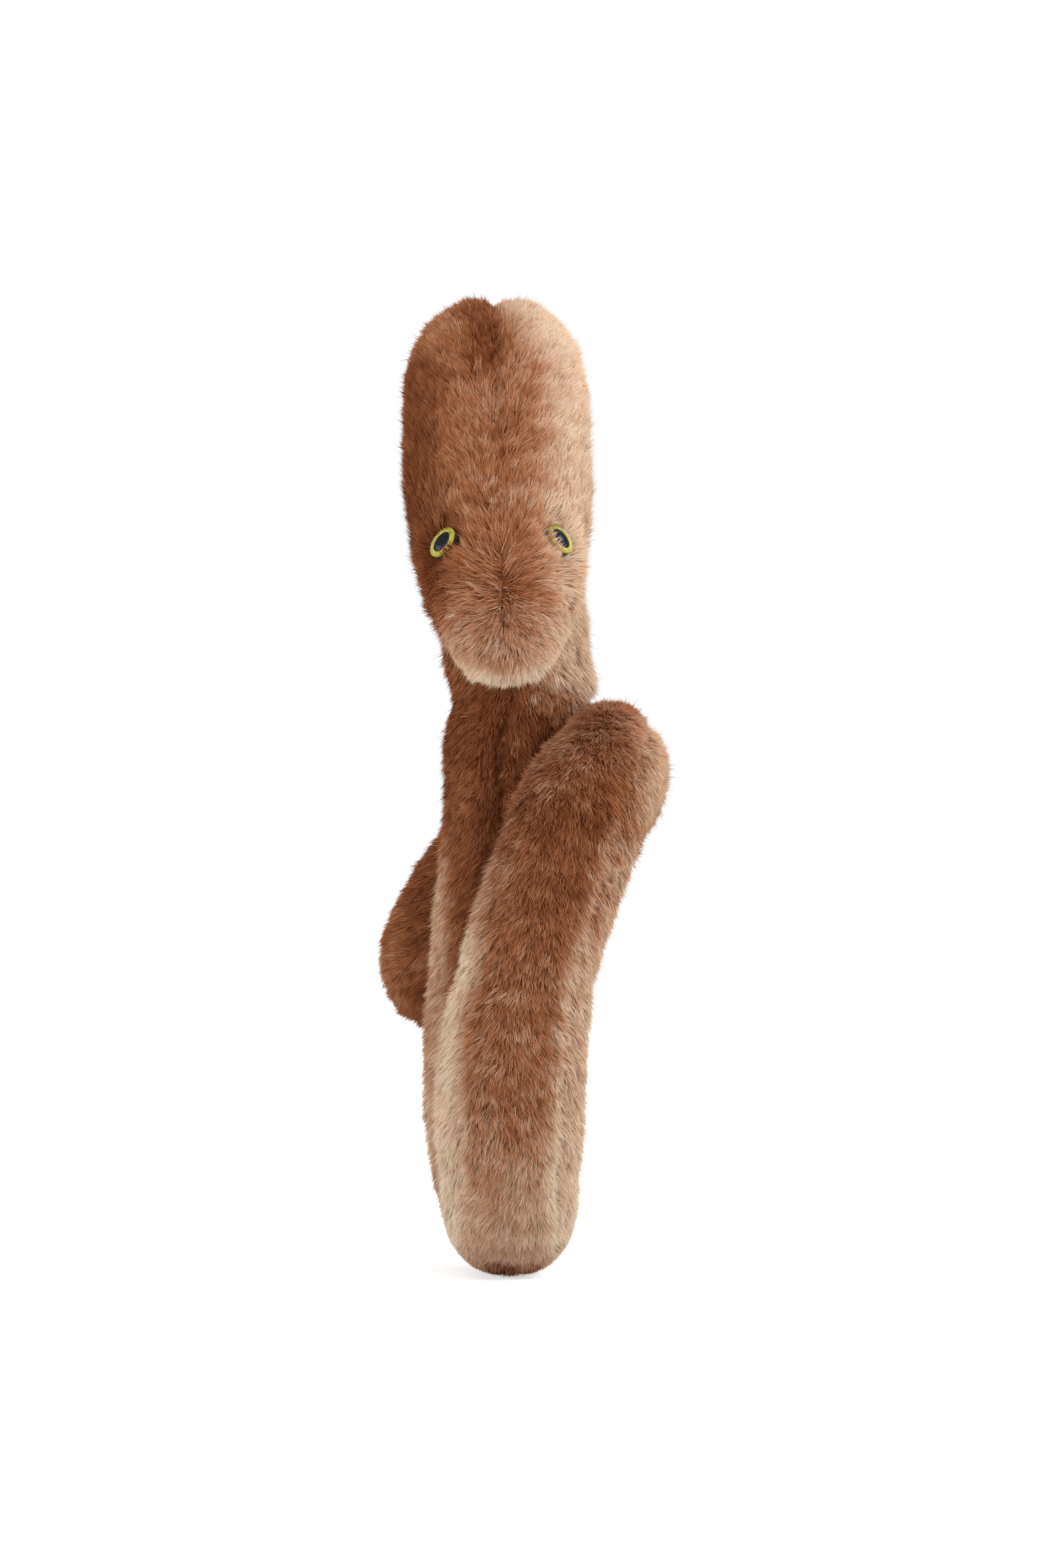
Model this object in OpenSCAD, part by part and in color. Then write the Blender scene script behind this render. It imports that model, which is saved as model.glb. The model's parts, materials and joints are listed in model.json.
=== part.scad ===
// Plush toy in the shape of a microbe: one long stuffed tube of fur fabric.
// It stands on the bend of a loop. From the nose the tube runs over a crook, down a neck and a
// stem, round the base, up an arm in front, over a shoulder beside the stem, and ends behind it.
// Millimetres, +Z up, the face looks along -Y, the origin is the centre of the resting face.

/* [Head] */
// Width of the head across its cheeks
head_w = 38.5; // [36:0.5:40]
// Depth of the head from brow to throat
head_d = 34; // [31:0.5:36]
// Length of the head from the end of the crook to its nose
head_len = 75; // [72:1:80]
// Length of the nose, where the head narrows
nose_len = 62; // [56:1:66]
// How far the head hangs below level, in degrees
head_droop = 45; // [40:1:48]
// Sideways place of the nose
nose_x = 0; // [-3:0.1:3]

/* [Crook] */
// Radius of the crook along the middle of the tube
crook_r = 28; // [26:0.5:31]
// Width of the crook at its crown
crook_w = 36.5; // [33:0.5:38]
// Depth of the crook at its crown
crook_d = 37; // [34:0.5:39]
// Height of the centre that the crook bends round
crook_z = 154; // [149:1:160]
// Sideways place of the crown
crook_x = -2.9; // [-6:0.1:0]

/* [Neck] */
// Width of the neck where it meets the stem
neck_w = 32; // [31:0.5:35]
// Sideways place of the neck seam
neck_x = 1.4; // [0:0.1:3]
// Distance of the neck behind the middle of the base
neck_y = 20; // [18:0.5:22]
// Height of the neck seam, which is the middle of the nod
neck_z = 119.5; // [118:0.5:122]
// Radius of the stem's rounded top
stem_top_r = 14.5; // [13.6:0.1:14.6]

/* [Stem] */
// Width of the stem
stem_w = 29.6; // [27:0.2:31]
// Depth of the stem
stem_d = 29; // [27:0.2:30]
// Sideways place of the stem
stem_x = -2.2; // [-3:0.1:-1]
// Height where the arm crosses beside the stem
cross_z = 103; // [100:0.5:105]
// Width of the stem and of the arm where they press together
pinch_w = 22.9; // [21:0.1:24]

/* [Base] */
// Width of the base
base_w = 27; // [26:0.2:30]
// Depth of the base
base_d = 30; // [28:0.2:31]
// Distance between the middles of the stem and the arm at the base
base_span = 52; // [50:0.5:56]
// Length of the straight stretch between the base's two bends
rest_len = 14; // [10:0.5:16]
// Depth of the flat that it rests on
rest_cut = 0.5; // [0.4:0.1:0.8]

/* [Arm] */
// Width of the arm
arm_w = 28.8; // [27:0.2:30]
// Depth of the arm
arm_d = 28; // [27:0.2:30]
// Height of the middle of the shoulder
shoulder_z = 104; // [101:0.5:106]

/* [Tail] */
// Width of the tail
tail_w = 29.4; // [27.6:0.2:30]
// Width where the shoulder meets the tail
tail_root_w = 30.4; // [30:0.1:31]
// Radius of the tail's rounded root
tail_root_r = 13.6; // [13:0.1:13.8]
// Distance of the tail's tip behind the neck
tail_back = 38; // [37:0.5:42]

/* [Fabric] */
// Thickness of the fur fabric with its pile pressed flat
plush_t = 4; // [3.5:0.1:4.5]
// Thickness of the knitted backing alone
backing_t = 1.1; // [0.9:0.1:1.4]
// Gap between the fabric and the filling
fill_gap = 0.4; // [0.35:0.05:0.5]
// Gap between two strands of the tube that rest on each other
strand_gap = 0.3; // [0.3:0.05:0.5]
// Gap between a rounded end and the socket that it turns in
socket_gap = 0.8; // [0.75:0.05:0.9]
// How far a seam is drawn in
seam_dent = 0.7; // [0.3:0.1:1]

/* [Eyes] */
// Diameter of an eye
eye_dia = 6.5; // [6:0.5:8]
// Height of the clear dome
dome_h = 1.5; // [1.2:0.1:2.8]
// Diameter of the pupil
pupil_dia = 4.4; // [4:0.1:5.4]
// Thickness of the iris ring and of the pupil disc
iris_t = 0.4; // [0.3:0.1:0.5]
// Thickness of the eye's back disc
disc_t = 1; // [0.8:0.1:1.2]
// Diameter of the shank behind the eye
shank_dia = 2.6; // [2.2:0.1:3]
// Length of the shank behind the back disc
shank_len = 8; // [7:0.5:9]
// Diameter of the locking washer
washer_dia = 9.6; // [9:0.2:11]
// Thickness of the locking washer
washer_t = 1.1; // [0.9:0.1:1.4]
// Distance of the eyes from the nose, along the head
eye_back = 29; // [26:0.5:32]
// Angle of the eyes up from the sides of the head, in degrees
eye_angle = 41; // [38:1:46]
// Gap round an eye in the pile, and round its washer inside
eye_gap = 0.2; // [0.15:0.05:0.3]
// How much wider than the shank its hole in the backing is
needle_gap = 0.1; // [0.05:0.05:0.2]

/* [Thread] */
// Diameter of the doubled sewing thread
thread_dia = 0.8; // [0.6:0.1:1]
// Stitches across the seam that closes the toy
closing_count = 7; // [5:1:9]
// Distance between two of those stitches
closing_pitch = 3.6; // [3:0.1:4]
// Length of a closing stitch
closing_len = 4.6; // [4:0.1:5]
// Length of a tack that holds the arm to the stem
tack_len = 5.2; // [4.6:0.1:6]
// Distance between two tacks
tack_pitch = 4; // [3:0.5:5]

/* [Hidden] */

fur_brown = [0.60, 0.39, 0.27];
fur_dark = [0.50, 0.31, 0.21];
filling_white = [0.95, 0.94, 0.90];
iris_yellow = [0.80, 0.70, 0.12];

// Facets round the tube, and the angle that each seam turns in so that panels don't share a face
around = 16;
seam_turn = 0.4;
// Seams of the side panels run along the top and the underside; those of the strips beside the front
side_seam = 90;
strip_seam = 40;
// Radius of the needle hole where the panels' points meet at a closed end
point_r = 0.3;
// How far a cut runs past a face
past_face = 1;
// Latitudes of the rings on a rounded end, and on the socket that holds one
dome_steps = [0, 22, 44, 68];
socket_steps = [8, 20, 31];

function unit(v) = v / norm(v);
function mix(a, b, t) = a + (b - a) * t;
function smooth(t) = let (u = max(0, min(1, t))) u * u * (3 - 2 * u);

// Place on a smooth curve through a list of marks, counted in marks
function through(marks, s) =
    let (last = len(marks) - 1, i = max(0, min(floor(s), last - 1)), t = s - i,
         b = marks[i], c = marks[i + 1],
         a = i > 0 ? marks[i - 1] : 2 * b - c,
         d = i < last - 1 ? marks[i + 2] : 2 * c - b)
    0.5 * (2 * b + (c - a) * t + (2 * a - 5 * b + 4 * c - d) * t ^ 2
           + (3 * b - a - 3 * c + d) * t ^ 3);

// The upper tube is measured along its middle, from the neck seam up and over to the nose
neck_len = crook_z - neck_z;
rear_len = crook_r * PI / 2;
fore_len = crook_r * head_droop * PI / 180;
crown_s = neck_len + rear_len;
head_s = crown_s + fore_len;
nose_s = head_s + head_len;
full_s = nose_s - nose_len;
crown_z = crook_z + crook_r;
// How late the head swings sideways to the nose: 1 is a straight line
nose_swing = 2;
function upper_x(s, z) = s < crown_s
    ? mix(neck_x, crook_x, (z - neck_z) / (crown_z - neck_z))
    : mix(crook_x, nose_x, ((s - crown_s) / (nose_s - crown_s)) ^ nose_swing);
function upper_yz(s) =
    let (turn = (s - neck_len) / crook_r * 180 / PI, past = s - head_s)
    s < neck_len ? [neck_y, neck_z + s]
    : s < head_s ? [neck_y + crook_r * (cos(turn) - 1), crook_z + crook_r * sin(turn)]
    : [neck_y - crook_r * (1 + sin(head_droop)) - past * cos(head_droop),
       crook_z + crook_r * cos(head_droop) - past * sin(head_droop)];
function upper(s) = let (p = upper_yz(s)) [upper_x(s, p[1]), p[0], p[1]];
function upper_along(s) = s < 1 ? [0, 0, -1] : unit(upper(s - 1) - upper(s + 1));
function upper_half(s) = s < crown_s
    ? mix([neck_w, neck_w], [crook_w, crook_d], smooth((s - neck_len / 2) / (crown_s - neck_len / 2))) / 2
    : mix([crook_w, crook_d], [head_w, head_d], smooth((s - crown_s) / fore_len)) / 2;
function nose_round(s) = let (u = max(0, (s - full_s) / nose_len)) (1 - u ^ 2) ^ 0.4;

// A ring is its middle, the way the tube runs, its half width and half depth, and its roundness:
// 1 is an ellipse, and less is squarer.
// Every ring function takes inset, the distance inwards from the outer face.
function upper_ring(s, inset) =
    let (half = upper_half(s), back = max(0, s - full_s) * inset / nose_len, f = nose_round(s))
    [upper(s - back), upper_along(s - back),
     max(point_r, (half[0] - inset) * f), max(point_r, (half[1] - inset) * f), 1];

// The lower tube is counted in marks: x, y, z, half width, half depth and roundness. It runs
// through the stem's marks, round the base in one step, and on through the arm's and the tail's
pinch = pinch_w / 2;
cross_x = stem_x - 0.1 + pinch_w + strand_gap;
foot_y = base_span / 2;
foot_z = base_d / 2 - rest_cut + (base_span - rest_len) / 2;
stem_half = [stem_w / 2, stem_d / 2];
stem_marks = [
    [neck_x, neck_y, neck_z, stem_top_r, stem_top_r, 1],
    [stem_x - 0.2, mix(neck_y, foot_y, 0.05), cross_z + 8.5, pinch + 0.6, stem_half[1], 1],
    [stem_x - 0.1, mix(neck_y, foot_y, 0.15), cross_z, pinch, stem_half[1] + 0.6, 1],
    [stem_x, mix(neck_y, foot_y, 0.3), cross_z - 10, pinch + 0.7, stem_half[1] + 0.4, 1],
    [stem_x, mix(neck_y, foot_y, 0.6), cross_z - 24, stem_half[0] - 1, stem_half[1], 1],
    [stem_x - 0.6, mix(neck_y, foot_y, 0.85), cross_z - 44, stem_half[0], stem_half[1], 1],
    [stem_x - 1, foot_y, foot_z, stem_half[0], stem_half[1], 1]];
arm_half = [arm_w / 2, arm_d / 2];
arm_marks = [
    [0, -foot_y, foot_z, arm_half[0] + 0.4, arm_half[1], 1],
    [1.9, -foot_y - 0.8, foot_z + 24, arm_half[0], arm_half[1], 1],
    [7.8, -foot_y + 1.8, foot_z + 43, arm_half[0], arm_half[1], 1],
    [13.4, -foot_y + 8, shoulder_z - 12, arm_half[0], arm_half[1], 1],
    [cross_x - 2.8, neck_y - 28.5, shoulder_z - 2.5, arm_half[0] - 0.8, arm_half[1], 1],
    [cross_x - 0.5, neck_y - 15, shoulder_z, pinch + 1.2, arm_half[1] + 0.4, 1],
    [cross_x + 0.1, neck_y, cross_z + 0.5, pinch, arm_half[1] + 1, 1],
    [cross_x + 0.4, neck_y + 14, cross_z - 0.5, pinch + 1, arm_half[1] + 1, 1]];
tail_half = tail_w / 2;
tail_y = neck_y + tail_back;
tail_marks = [
    [cross_x - 6.4, tail_y - 10, cross_z - 4.5, tail_root_r, tail_root_r, 1],
    [4.6, tail_y - 3, cross_z - 13, tail_half - 0.4, tail_half - 0.4, 1],
    [-3.8, tail_y, cross_z - 23, tail_half, tail_half, 1],
    [-9.6, tail_y, cross_z - 32, tail_half, tail_half, 1],
    [-13.4, tail_y, cross_z - 40.3, tail_half, tail_half, 1]];
upper_marks = len(stem_marks) - 1;
after_marks = concat(arm_marks, tail_marks);

// The base: a quarter turn down, a straight stretch and a quarter turn up, u from 0 to 1
bend_r = (base_span - rest_len) / 2;
base_len = bend_r * PI + rest_len;
bend_part = bend_r * PI / 2 / base_len;
// The base sags on its sole, so its section is squarer than the tube's
base_roundness = 0.5;
// How far round a bend the tube keeps the stem's or the arm's own place and width, in degrees
foot_turn = 20;
function base_mark(u) =
    let (v = min(u, 1 - u), side = u < 0.5 ? 1 : -1,
         turn = min(90, 90 * v / bend_part),
         past = max(0, v - bend_part) * base_len,
         foot = u < 0.5 ? stem_marks[upper_marks] : arm_marks[0],
         low = smooth((turn - foot_turn) / (90 - foot_turn)))
    [mix(foot[0], 0, low), side * (rest_len / 2 - past + bend_r * cos(turn)),
     foot_z - bend_r * sin(turn),
     mix(foot[3], base_w / 2, low), mix(foot[4], base_d / 2, low),
     mix(1, base_roundness, low)];
function lower_mark(q) = q < upper_marks ? through(stem_marks, q)
    : q < upper_marks + 1 ? base_mark(q - upper_marks) : through(after_marks, q - upper_marks - 1);

// Where the sections meet: the base's are a third of the way round its bends
bend_third = bend_part / 3;
base_q = upper_marks + bend_third;
arm_q = upper_marks + 1 - bend_third;
shoulder_q = upper_marks + 4;
joint_q = upper_marks + 1 + len(arm_marks);
tip_q = joint_q + len(tail_marks) - 1;
function point_of(mark) = [mark[0], mark[1], mark[2]];
function lower(q) = point_of(lower_mark(q));
function lower_along(q) =
    q <= 0 ? [0, 0, -1] : unit(lower(min(tip_q, q + 0.03)) - lower(q - 0.03));
function lower_ring(q, inset) =
    let (mark = lower_mark(q))
    [point_of(mark), lower_along(q), mark[3] - inset, mark[4] - inset, mark[5]];

// A rounded end: rings of a ball of radius r about middle. side is 1 where it bulges the way that
// the tube runs, and -1 where it bulges back
function ball_ring(middle, along, side, r, lat) =
    let (half = max(point_r, r * cos(lat))) [middle + along * side * r * sin(lat), along, half, half, 1];
// The tube round such an end: straight, and hollowed to the radius of the socket
function socket_ring(middle, along, half, r, height, inset) =
    let (hollow = sqrt(max(0, r * r - height * height)), in = inset > 0 ? max(half - inset, hollow) : half)
    [middle - along * height, along, in, in, 1];

// Points of a ring from angle a0 to a1. Angle 0 is across the tube, 90 is the outer side of its bends
function across(along) = unit([1, 0, 0] - along * along[0]);
function outward(along) = cross(across(along), along);
function squared(x, power) = sign(x) * abs(x) ^ power;
function ring_point(ring, angle, dent) =
    ring[0] + across(ring[1]) * (ring[2] - dent) * squared(cos(angle), ring[4])
    + outward(ring[1]) * (ring[3] - dent) * squared(sin(angle), ring[4]);
function arc_points(ring, a0, a1, steps, dent) =
    [for (j = [0 : steps])
        ring_point(ring, mix(a0, a1, j / steps), j == 0 || j == steps ? min(dent, ring[2] / 4) : 0)];

// Two triangles for each cell of a net that is rows by columns of points, from point number first
function net(first, rows, columns, turned) =
    [for (i = [0 : rows - 2], j = [0 : columns - 2])
        let (a = first + i * columns + j, b = a + 1, c = b + columns, d = a + columns)
        each turned ? [[a, c, b], [a, d, c]] : [[a, b, c], [a, c, d]]];
// Two triangles for the cell between points a and b of one line and c and d of the next
function cell(a, b, c, d) = [[a, b, c], [a, c, d]];

// A fur panel: the part of the tube's wall from angle a0 to a1, between outer and inner rings
module panel(outer, inner, a0, a1) {
    steps = ceil((a1 - a0) / 360 * around);
    columns = steps + 1;
    rows = len(outer);
    second = rows * columns;
    points = concat(
        [for (ring = outer) each arc_points(ring, a0 + seam_turn, a1 - seam_turn, steps, seam_dent)],
        [for (ring = inner) each arc_points(ring, a0 + seam_turn, a1 - seam_turn, steps, 0)]);
    ends = [for (i = [0 : rows - 2])
        let (a = i * columns, b = a + columns, e = a + steps, f = e + columns)
        each concat(cell(a, b, b + second, a + second), cell(f, e, e + second, f + second))];
    last = (rows - 1) * columns;
    rims = [for (j = [0 : steps - 1])
        each concat(cell(j + 1, j, j + second, j + 1 + second),
                    cell(last + j, last + j + 1, last + j + 1 + second, last + j + second))];
    faces = concat(net(0, rows, columns, false), net(second, rows, columns, true), ends, rims);
    polyhedron(points, faces);
}

// A body of filling: a closed skin over rings, each end fanned to its own middle
module stuffed(rings) {
    rows = len(rings);
    points = concat(
        [for (ring = rings) each [for (j = [0 : around - 1]) ring_point(ring, j * 360 / around, 0)]],
        [rings[0][0], rings[rows - 1][0]]);
    first = rows * around;
    sides = [for (i = [0 : rows - 2], j = [0 : around - 1])
        let (a = i * around + j, b = i * around + (j + 1) % around)
        each cell(a, b, b + around, a + around)];
    caps = [for (j = [0 : around - 1])
        let (k = (j + 1) % around, end = (rows - 1) * around)
        each [[first, k, j], [first + 1, end + j, end + k]]];
    polyhedron(points, concat(sides, caps));
}

// Rings of each section, with its inset
head_steps = concat([head_s], [for (u = [0, 0.2, 0.38, 0.55, 0.7, 0.82, 0.91, 0.97, 1]) full_s + nose_len * u]);
function head_rings(inset) = [for (i = [len(head_steps) - 1 : -1 : 0]) upper_ring(head_steps[i], inset)];
crook_end_s = neck_len + rear_len / 2;
function crook_rings(inset) = [for (t = [6 : -1 : 0]) upper_ring(mix(crook_end_s, head_s, t / 6), inset)];
socket_r = stem_top_r + socket_gap;
// Height above a seam at which the hollow of its socket meets the inner face of the fabric
function socket_top(half, r, inset) = sqrt(r * r - (half - inset) * (half - inset));
neck_top = socket_top(neck_w / 2, socket_r, plush_t);
function neck_tube(inset) = [for (s = [crook_end_s, mix(crook_end_s, neck_len, 0.5), neck_len,
    mix(neck_len, neck_top, 0.6)]) upper_ring(s, inset)];
function neck_skirt(inset) = concat(
    [socket_ring(upper(0), [0, 0, -1], neck_w / 2, socket_r, neck_top, inset)],
    [for (i = [2 : -1 : 0])
        socket_ring(upper(0), [0, 0, -1], neck_w / 2, socket_r, socket_r * sin(socket_steps[i]), inset)]);
function stem_dome(inset) = [for (i = [3 : -1 : 0])
    ball_ring(lower(0), [0, 0, -1], -1, stem_top_r - inset, dome_steps[i])];
function stem_tube(inset) = [for (q = [0.6, 1.3, 2, 2.8, 3.8, 5, 6, base_q]) lower_ring(q, inset)];
function base_rings(inset) = [for (side = [0, 1], i = [0 : 3])
    let (u = bend_part * (side == 0 ? mix(1 / 3, 1, i / 3) : mix(1, 1 / 3, i / 3)))
    lower_ring(upper_marks + (side == 0 ? u : 1 - u), inset)];
arm_low_q = upper_marks + 1;
function arm_rings(inset) = [for (q = concat([arm_q, mix(arm_q, arm_low_q, 0.5)],
    [for (t = [0 : 4]) mix(arm_low_q, shoulder_q, t / 4)])) lower_ring(q, inset)];
tail_socket_r = tail_root_r + socket_gap;
tail_along = lower_along(joint_q);
shoulder_top = socket_top(tail_root_w / 2, tail_socket_r, plush_t);
function shoulder_tube(inset) = [for (q = [0, 0.5, 1, 1.5, 2.1, 2.8, 3.5, 4.2])
    lower_ring(shoulder_q + q, inset)];
function shoulder_skirt(inset) = concat(
    [socket_ring(lower(joint_q), tail_along, tail_root_w / 2, tail_socket_r, shoulder_top, inset)],
    [for (i = [2 : -1 : 0]) socket_ring(lower(joint_q), tail_along, tail_root_w / 2, tail_socket_r,
        tail_socket_r * sin(socket_steps[i]), inset)]);
function tail_dome(inset) = [for (i = [3 : -1 : 0])
    ball_ring(lower(joint_q), tail_along, -1, tail_root_r - inset, dome_steps[i])];
function tail_tube(inset) = [for (t = [1 : 5]) lower_ring(mix(joint_q, tip_q, t / 5), inset)];
tip_along = lower_along(tip_q);
function tail_tip(inset) = [for (lat = [22, 43, 63, 79, 90])
    ball_ring(lower(tip_q), tip_along, 1, tail_w / 2 - inset, lat)];
// The hollow end of a filling, round the rounded end of the next section
function hollow_end(middle, along, r) = [for (lat = [52, 66, 80]) ball_ring(middle, along, -1, r, lat)];

fill_in = plush_t + fill_gap;

module side_pair(outer, inner, side) {
    if (side < 0) panel(outer, inner, side_seam, side_seam + 180);
    else panel(outer, inner, side_seam - 180, side_seam);
}
module strip_pair(outer, inner, is_outer) {
    if (is_outer) panel(outer, inner, strip_seam, 180 - strip_seam);
    else panel(outer, inner, 180 - strip_seam, 360 + strip_seam);
}

// An eye's axis is the head's surface normal, and its back disc seats on the fabric's backing
eye_ring = upper_ring(nose_s - eye_back, 0);
eye_sink = plush_t - backing_t;
function eye_axes(side) =
    let (b = across(eye_ring[1]) * side, n = outward(eye_ring[1]),
         z = unit(b * cos(eye_angle) / eye_ring[2] + n * sin(eye_angle) / eye_ring[3]),
         x = unit(cross(eye_ring[1], z)), y = cross(z, x),
         p = eye_ring[0] + b * eye_ring[2] * cos(eye_angle) + n * eye_ring[3] * sin(eye_angle)
             - z * eye_sink)
    [[x[0], y[0], z[0], p[0]], [x[1], y[1], z[1], p[1]], [x[2], y[2], z[2], p[2]], [0, 0, 0, 1]];
module at_eye(side) {
    multmatrix(eye_axes(side)) children();
}
// Room for an eye in the pile, its shank through the backing and its washer behind
module eye_room(side) {
    at_eye(side) {
        cylinder(h = eye_sink + plush_t, d = eye_dia + 2 * eye_gap, $fn = 20);
        translate([0, 0, -backing_t - plush_t]) cylinder(h = 2 * plush_t, d = shank_dia + needle_gap, $fn = 16);
        translate([0, 0, -backing_t - plush_t])
            cylinder(h = plush_t, d = washer_dia + 2 * eye_gap, $fn = 20);
    }
}
module eye_dome(side) {
    dome_r = ((eye_dia / 2) ^ 2 + dome_h ^ 2) / (2 * dome_h);
    at_eye(side) translate([0, 0, disc_t + iris_t]) intersection() {
        translate([0, 0, dome_h - dome_r]) sphere(r = dome_r, $fn = 48);
        cylinder(h = dome_r, d = 2 * eye_dia, $fn = 32);
    }
}
module eye_iris(side) {
    at_eye(side) translate([0, 0, disc_t]) difference() {
        cylinder(h = iris_t, d = eye_dia, $fn = 32);
        translate([0, 0, -past_face]) cylinder(h = iris_t + 2 * past_face, d = pupil_dia, $fn = 32);
    }
}
module eye_pupil(side) {
    at_eye(side) translate([0, 0, disc_t]) cylinder(h = iris_t, d = pupil_dia, $fn = 32);
}
module eye_shank(side) {
    rib = 0.25;
    first_rib = backing_t + washer_t + 0.2;
    rib_pitch = 0.9;
    at_eye(side) {
        cylinder(h = disc_t, d = eye_dia, $fn = 32);
        translate([0, 0, -shank_len]) cylinder(h = shank_len, d = shank_dia, $fn = 16);
        for (z = [first_rib : rib_pitch : shank_len - rib_pitch])
            translate([0, 0, -z - rib_pitch / 2])
                cylinder(h = rib_pitch / 2, r1 = shank_dia / 2 - 0.05, r2 = shank_dia / 2 + rib, $fn = 16);
    }
}
module eye_washer(side) {
    at_eye(side) translate([0, 0, -backing_t - washer_t]) difference() {
        cylinder(h = washer_t, d = washer_dia, $fn = 32);
        translate([0, 0, -past_face]) cylinder(h = washer_t + 2 * past_face, d = shank_dia, $fn = 16);
    }
}

module head_panel(side) {
    color(fur_brown) difference() {
        side_pair(head_rings(0), head_rings(plush_t), side);
        eye_room(side);
    }
}
module head_filling() {
    color(filling_white) difference() {
        stuffed(head_rings(fill_in));
        for (side = [-1, 1]) at_eye(side) translate([0, 0, -shank_len - fill_gap])
            cylinder(h = shank_len + plush_t, d = washer_dia + 2 * eye_gap, $fn = 20);
    }
}
module crook_panel(side) {
    color(fur_brown) side_pair(crook_rings(0), crook_rings(plush_t), side);
}
module crook_filling() {
    color(filling_white) stuffed(crook_rings(fill_in));
}
module neck_panel(side) {
    color(fur_brown) side_pair(concat(neck_tube(0), neck_skirt(0)),
                               concat(neck_tube(plush_t), neck_skirt(plush_t)), side);
}
module neck_filling() {
    top = [socket_ring(upper(0), [0, 0, -1], neck_w / 2, socket_r,
                       socket_top(neck_w / 2, socket_r, fill_in), fill_in)];
    color(filling_white) stuffed(concat(neck_tube(fill_in), top,
        hollow_end(upper(0), [0, 0, -1], socket_r)));
}
module stem_panel(side) {
    color(fur_dark) side_pair(concat(stem_dome(0), stem_tube(0)),
                              concat(stem_dome(plush_t), stem_tube(plush_t)), side);
}
module stem_filling() {
    color(filling_white) stuffed(concat(stem_dome(fill_in), stem_tube(fill_in)));
}
module base_panel(is_outer) {
    color(fur_brown) intersection() {
        strip_pair(base_rings(0), base_rings(plush_t), is_outer);
        translate([-base_w, -base_span, 0]) cube([2 * base_w, 2 * base_span, base_d + bend_r]);
    }
}
module base_filling() {
    color(filling_white) stuffed(base_rings(fill_in));
}
module arm_panel(is_outer) {
    color(fur_brown) strip_pair(arm_rings(0), arm_rings(plush_t), is_outer);
}
module arm_filling() {
    color(filling_white) stuffed(arm_rings(fill_in));
}
module shoulder_panel(is_outer) {
    color(fur_dark) strip_pair(concat(shoulder_tube(0), shoulder_skirt(0)),
                               concat(shoulder_tube(plush_t), shoulder_skirt(plush_t)), is_outer);
}
module shoulder_filling() {
    top = [socket_ring(lower(joint_q), tail_along, tail_root_w / 2, tail_socket_r,
                       socket_top(tail_root_w / 2, tail_socket_r, fill_in), fill_in)];
    color(filling_white) stuffed(concat(shoulder_tube(fill_in), top,
        hollow_end(lower(joint_q), tail_along, tail_socket_r)));
}
module tail_panel(is_outer) {
    color(fur_dark) strip_pair(concat(tail_dome(0), tail_tube(0), tail_tip(0)),
                               concat(tail_dome(plush_t), tail_tube(plush_t), tail_tip(plush_t)), is_outer);
}
module tail_filling() {
    color(filling_white) stuffed(concat(tail_dome(fill_in), tail_tube(fill_in), tail_tip(fill_in)));
}

module crossing_tacks() {
    middle = [cross_x - pinch - strand_gap / 2, neck_y, cross_z];
    color(fur_dark) for (y = [-0.5, 0.5], z = [-0.5, 0.5])
        translate(middle + [-tack_len / 2, y * tack_pitch, z * tack_pitch])
            rotate([0, 90, 0]) cylinder(h = tack_len, d = thread_dia, $fn = 14);
}
module closing_stitches() {
    span = norm(lower(5) - lower(4));
    color(fur_dark) for (i = [0 : closing_count - 1])
        let (mark = lower_mark(5 - i * closing_pitch / span))
        translate([mark[0] - closing_len / 2, mark[1] + mark[4] - seam_dent - thread_dia / 4, mark[2]])
            rotate([0, 90, 0]) cylinder(h = closing_len, d = thread_dia, $fn = 14);
}

head_panel(-1);  // head_panel_left
head_panel(1);  // head_panel_right
head_filling();
crook_panel(-1);  // crook_panel_left
crook_panel(1);  // crook_panel_right
crook_filling();
neck_panel(-1);  // neck_panel_left
neck_panel(1);  // neck_panel_right
neck_filling();
stem_panel(-1);  // stem_panel_left
stem_panel(1);  // stem_panel_right
stem_filling();
base_panel(true);  // base_panel_outer
base_panel(false);  // base_panel_inner
base_filling();
arm_panel(true);  // arm_panel_outer
arm_panel(false);  // arm_panel_inner
arm_filling();
shoulder_panel(true);  // shoulder_panel_outer
shoulder_panel(false);  // shoulder_panel_inner
shoulder_filling();
tail_panel(true);  // tail_panel_outer
tail_panel(false);  // tail_panel_inner
tail_filling();
color([0.9, 0.95, 1, 0.5]) eye_dome(-1);  // eye_dome_left
color(iris_yellow) eye_iris(-1);  // eye_iris_left
color("black") eye_pupil(-1);  // eye_pupil_left
color("dimgray") eye_shank(-1);  // eye_shank_left
color("dimgray") eye_washer(-1);  // eye_washer_left
color([0.9, 0.95, 1, 0.5]) eye_dome(1);  // eye_dome_right
color(iris_yellow) eye_iris(1);  // eye_iris_right
color("black") eye_pupil(1);  // eye_pupil_right
color("dimgray") eye_shank(1);  // eye_shank_right
color("dimgray") eye_washer(1);  // eye_washer_right
crossing_tacks();
closing_stitches();
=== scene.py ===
"""Dresses the stuffed tube toy: padded fur panels with their pile, seams, eyes, thread and a studio.

The construction model gives every place and size. Lengths are in metres, +Z is up and the face
looks along -Y. Fur is built as mesh, lock by lock, on a skin that is inflated like the real filling.
"""

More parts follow.
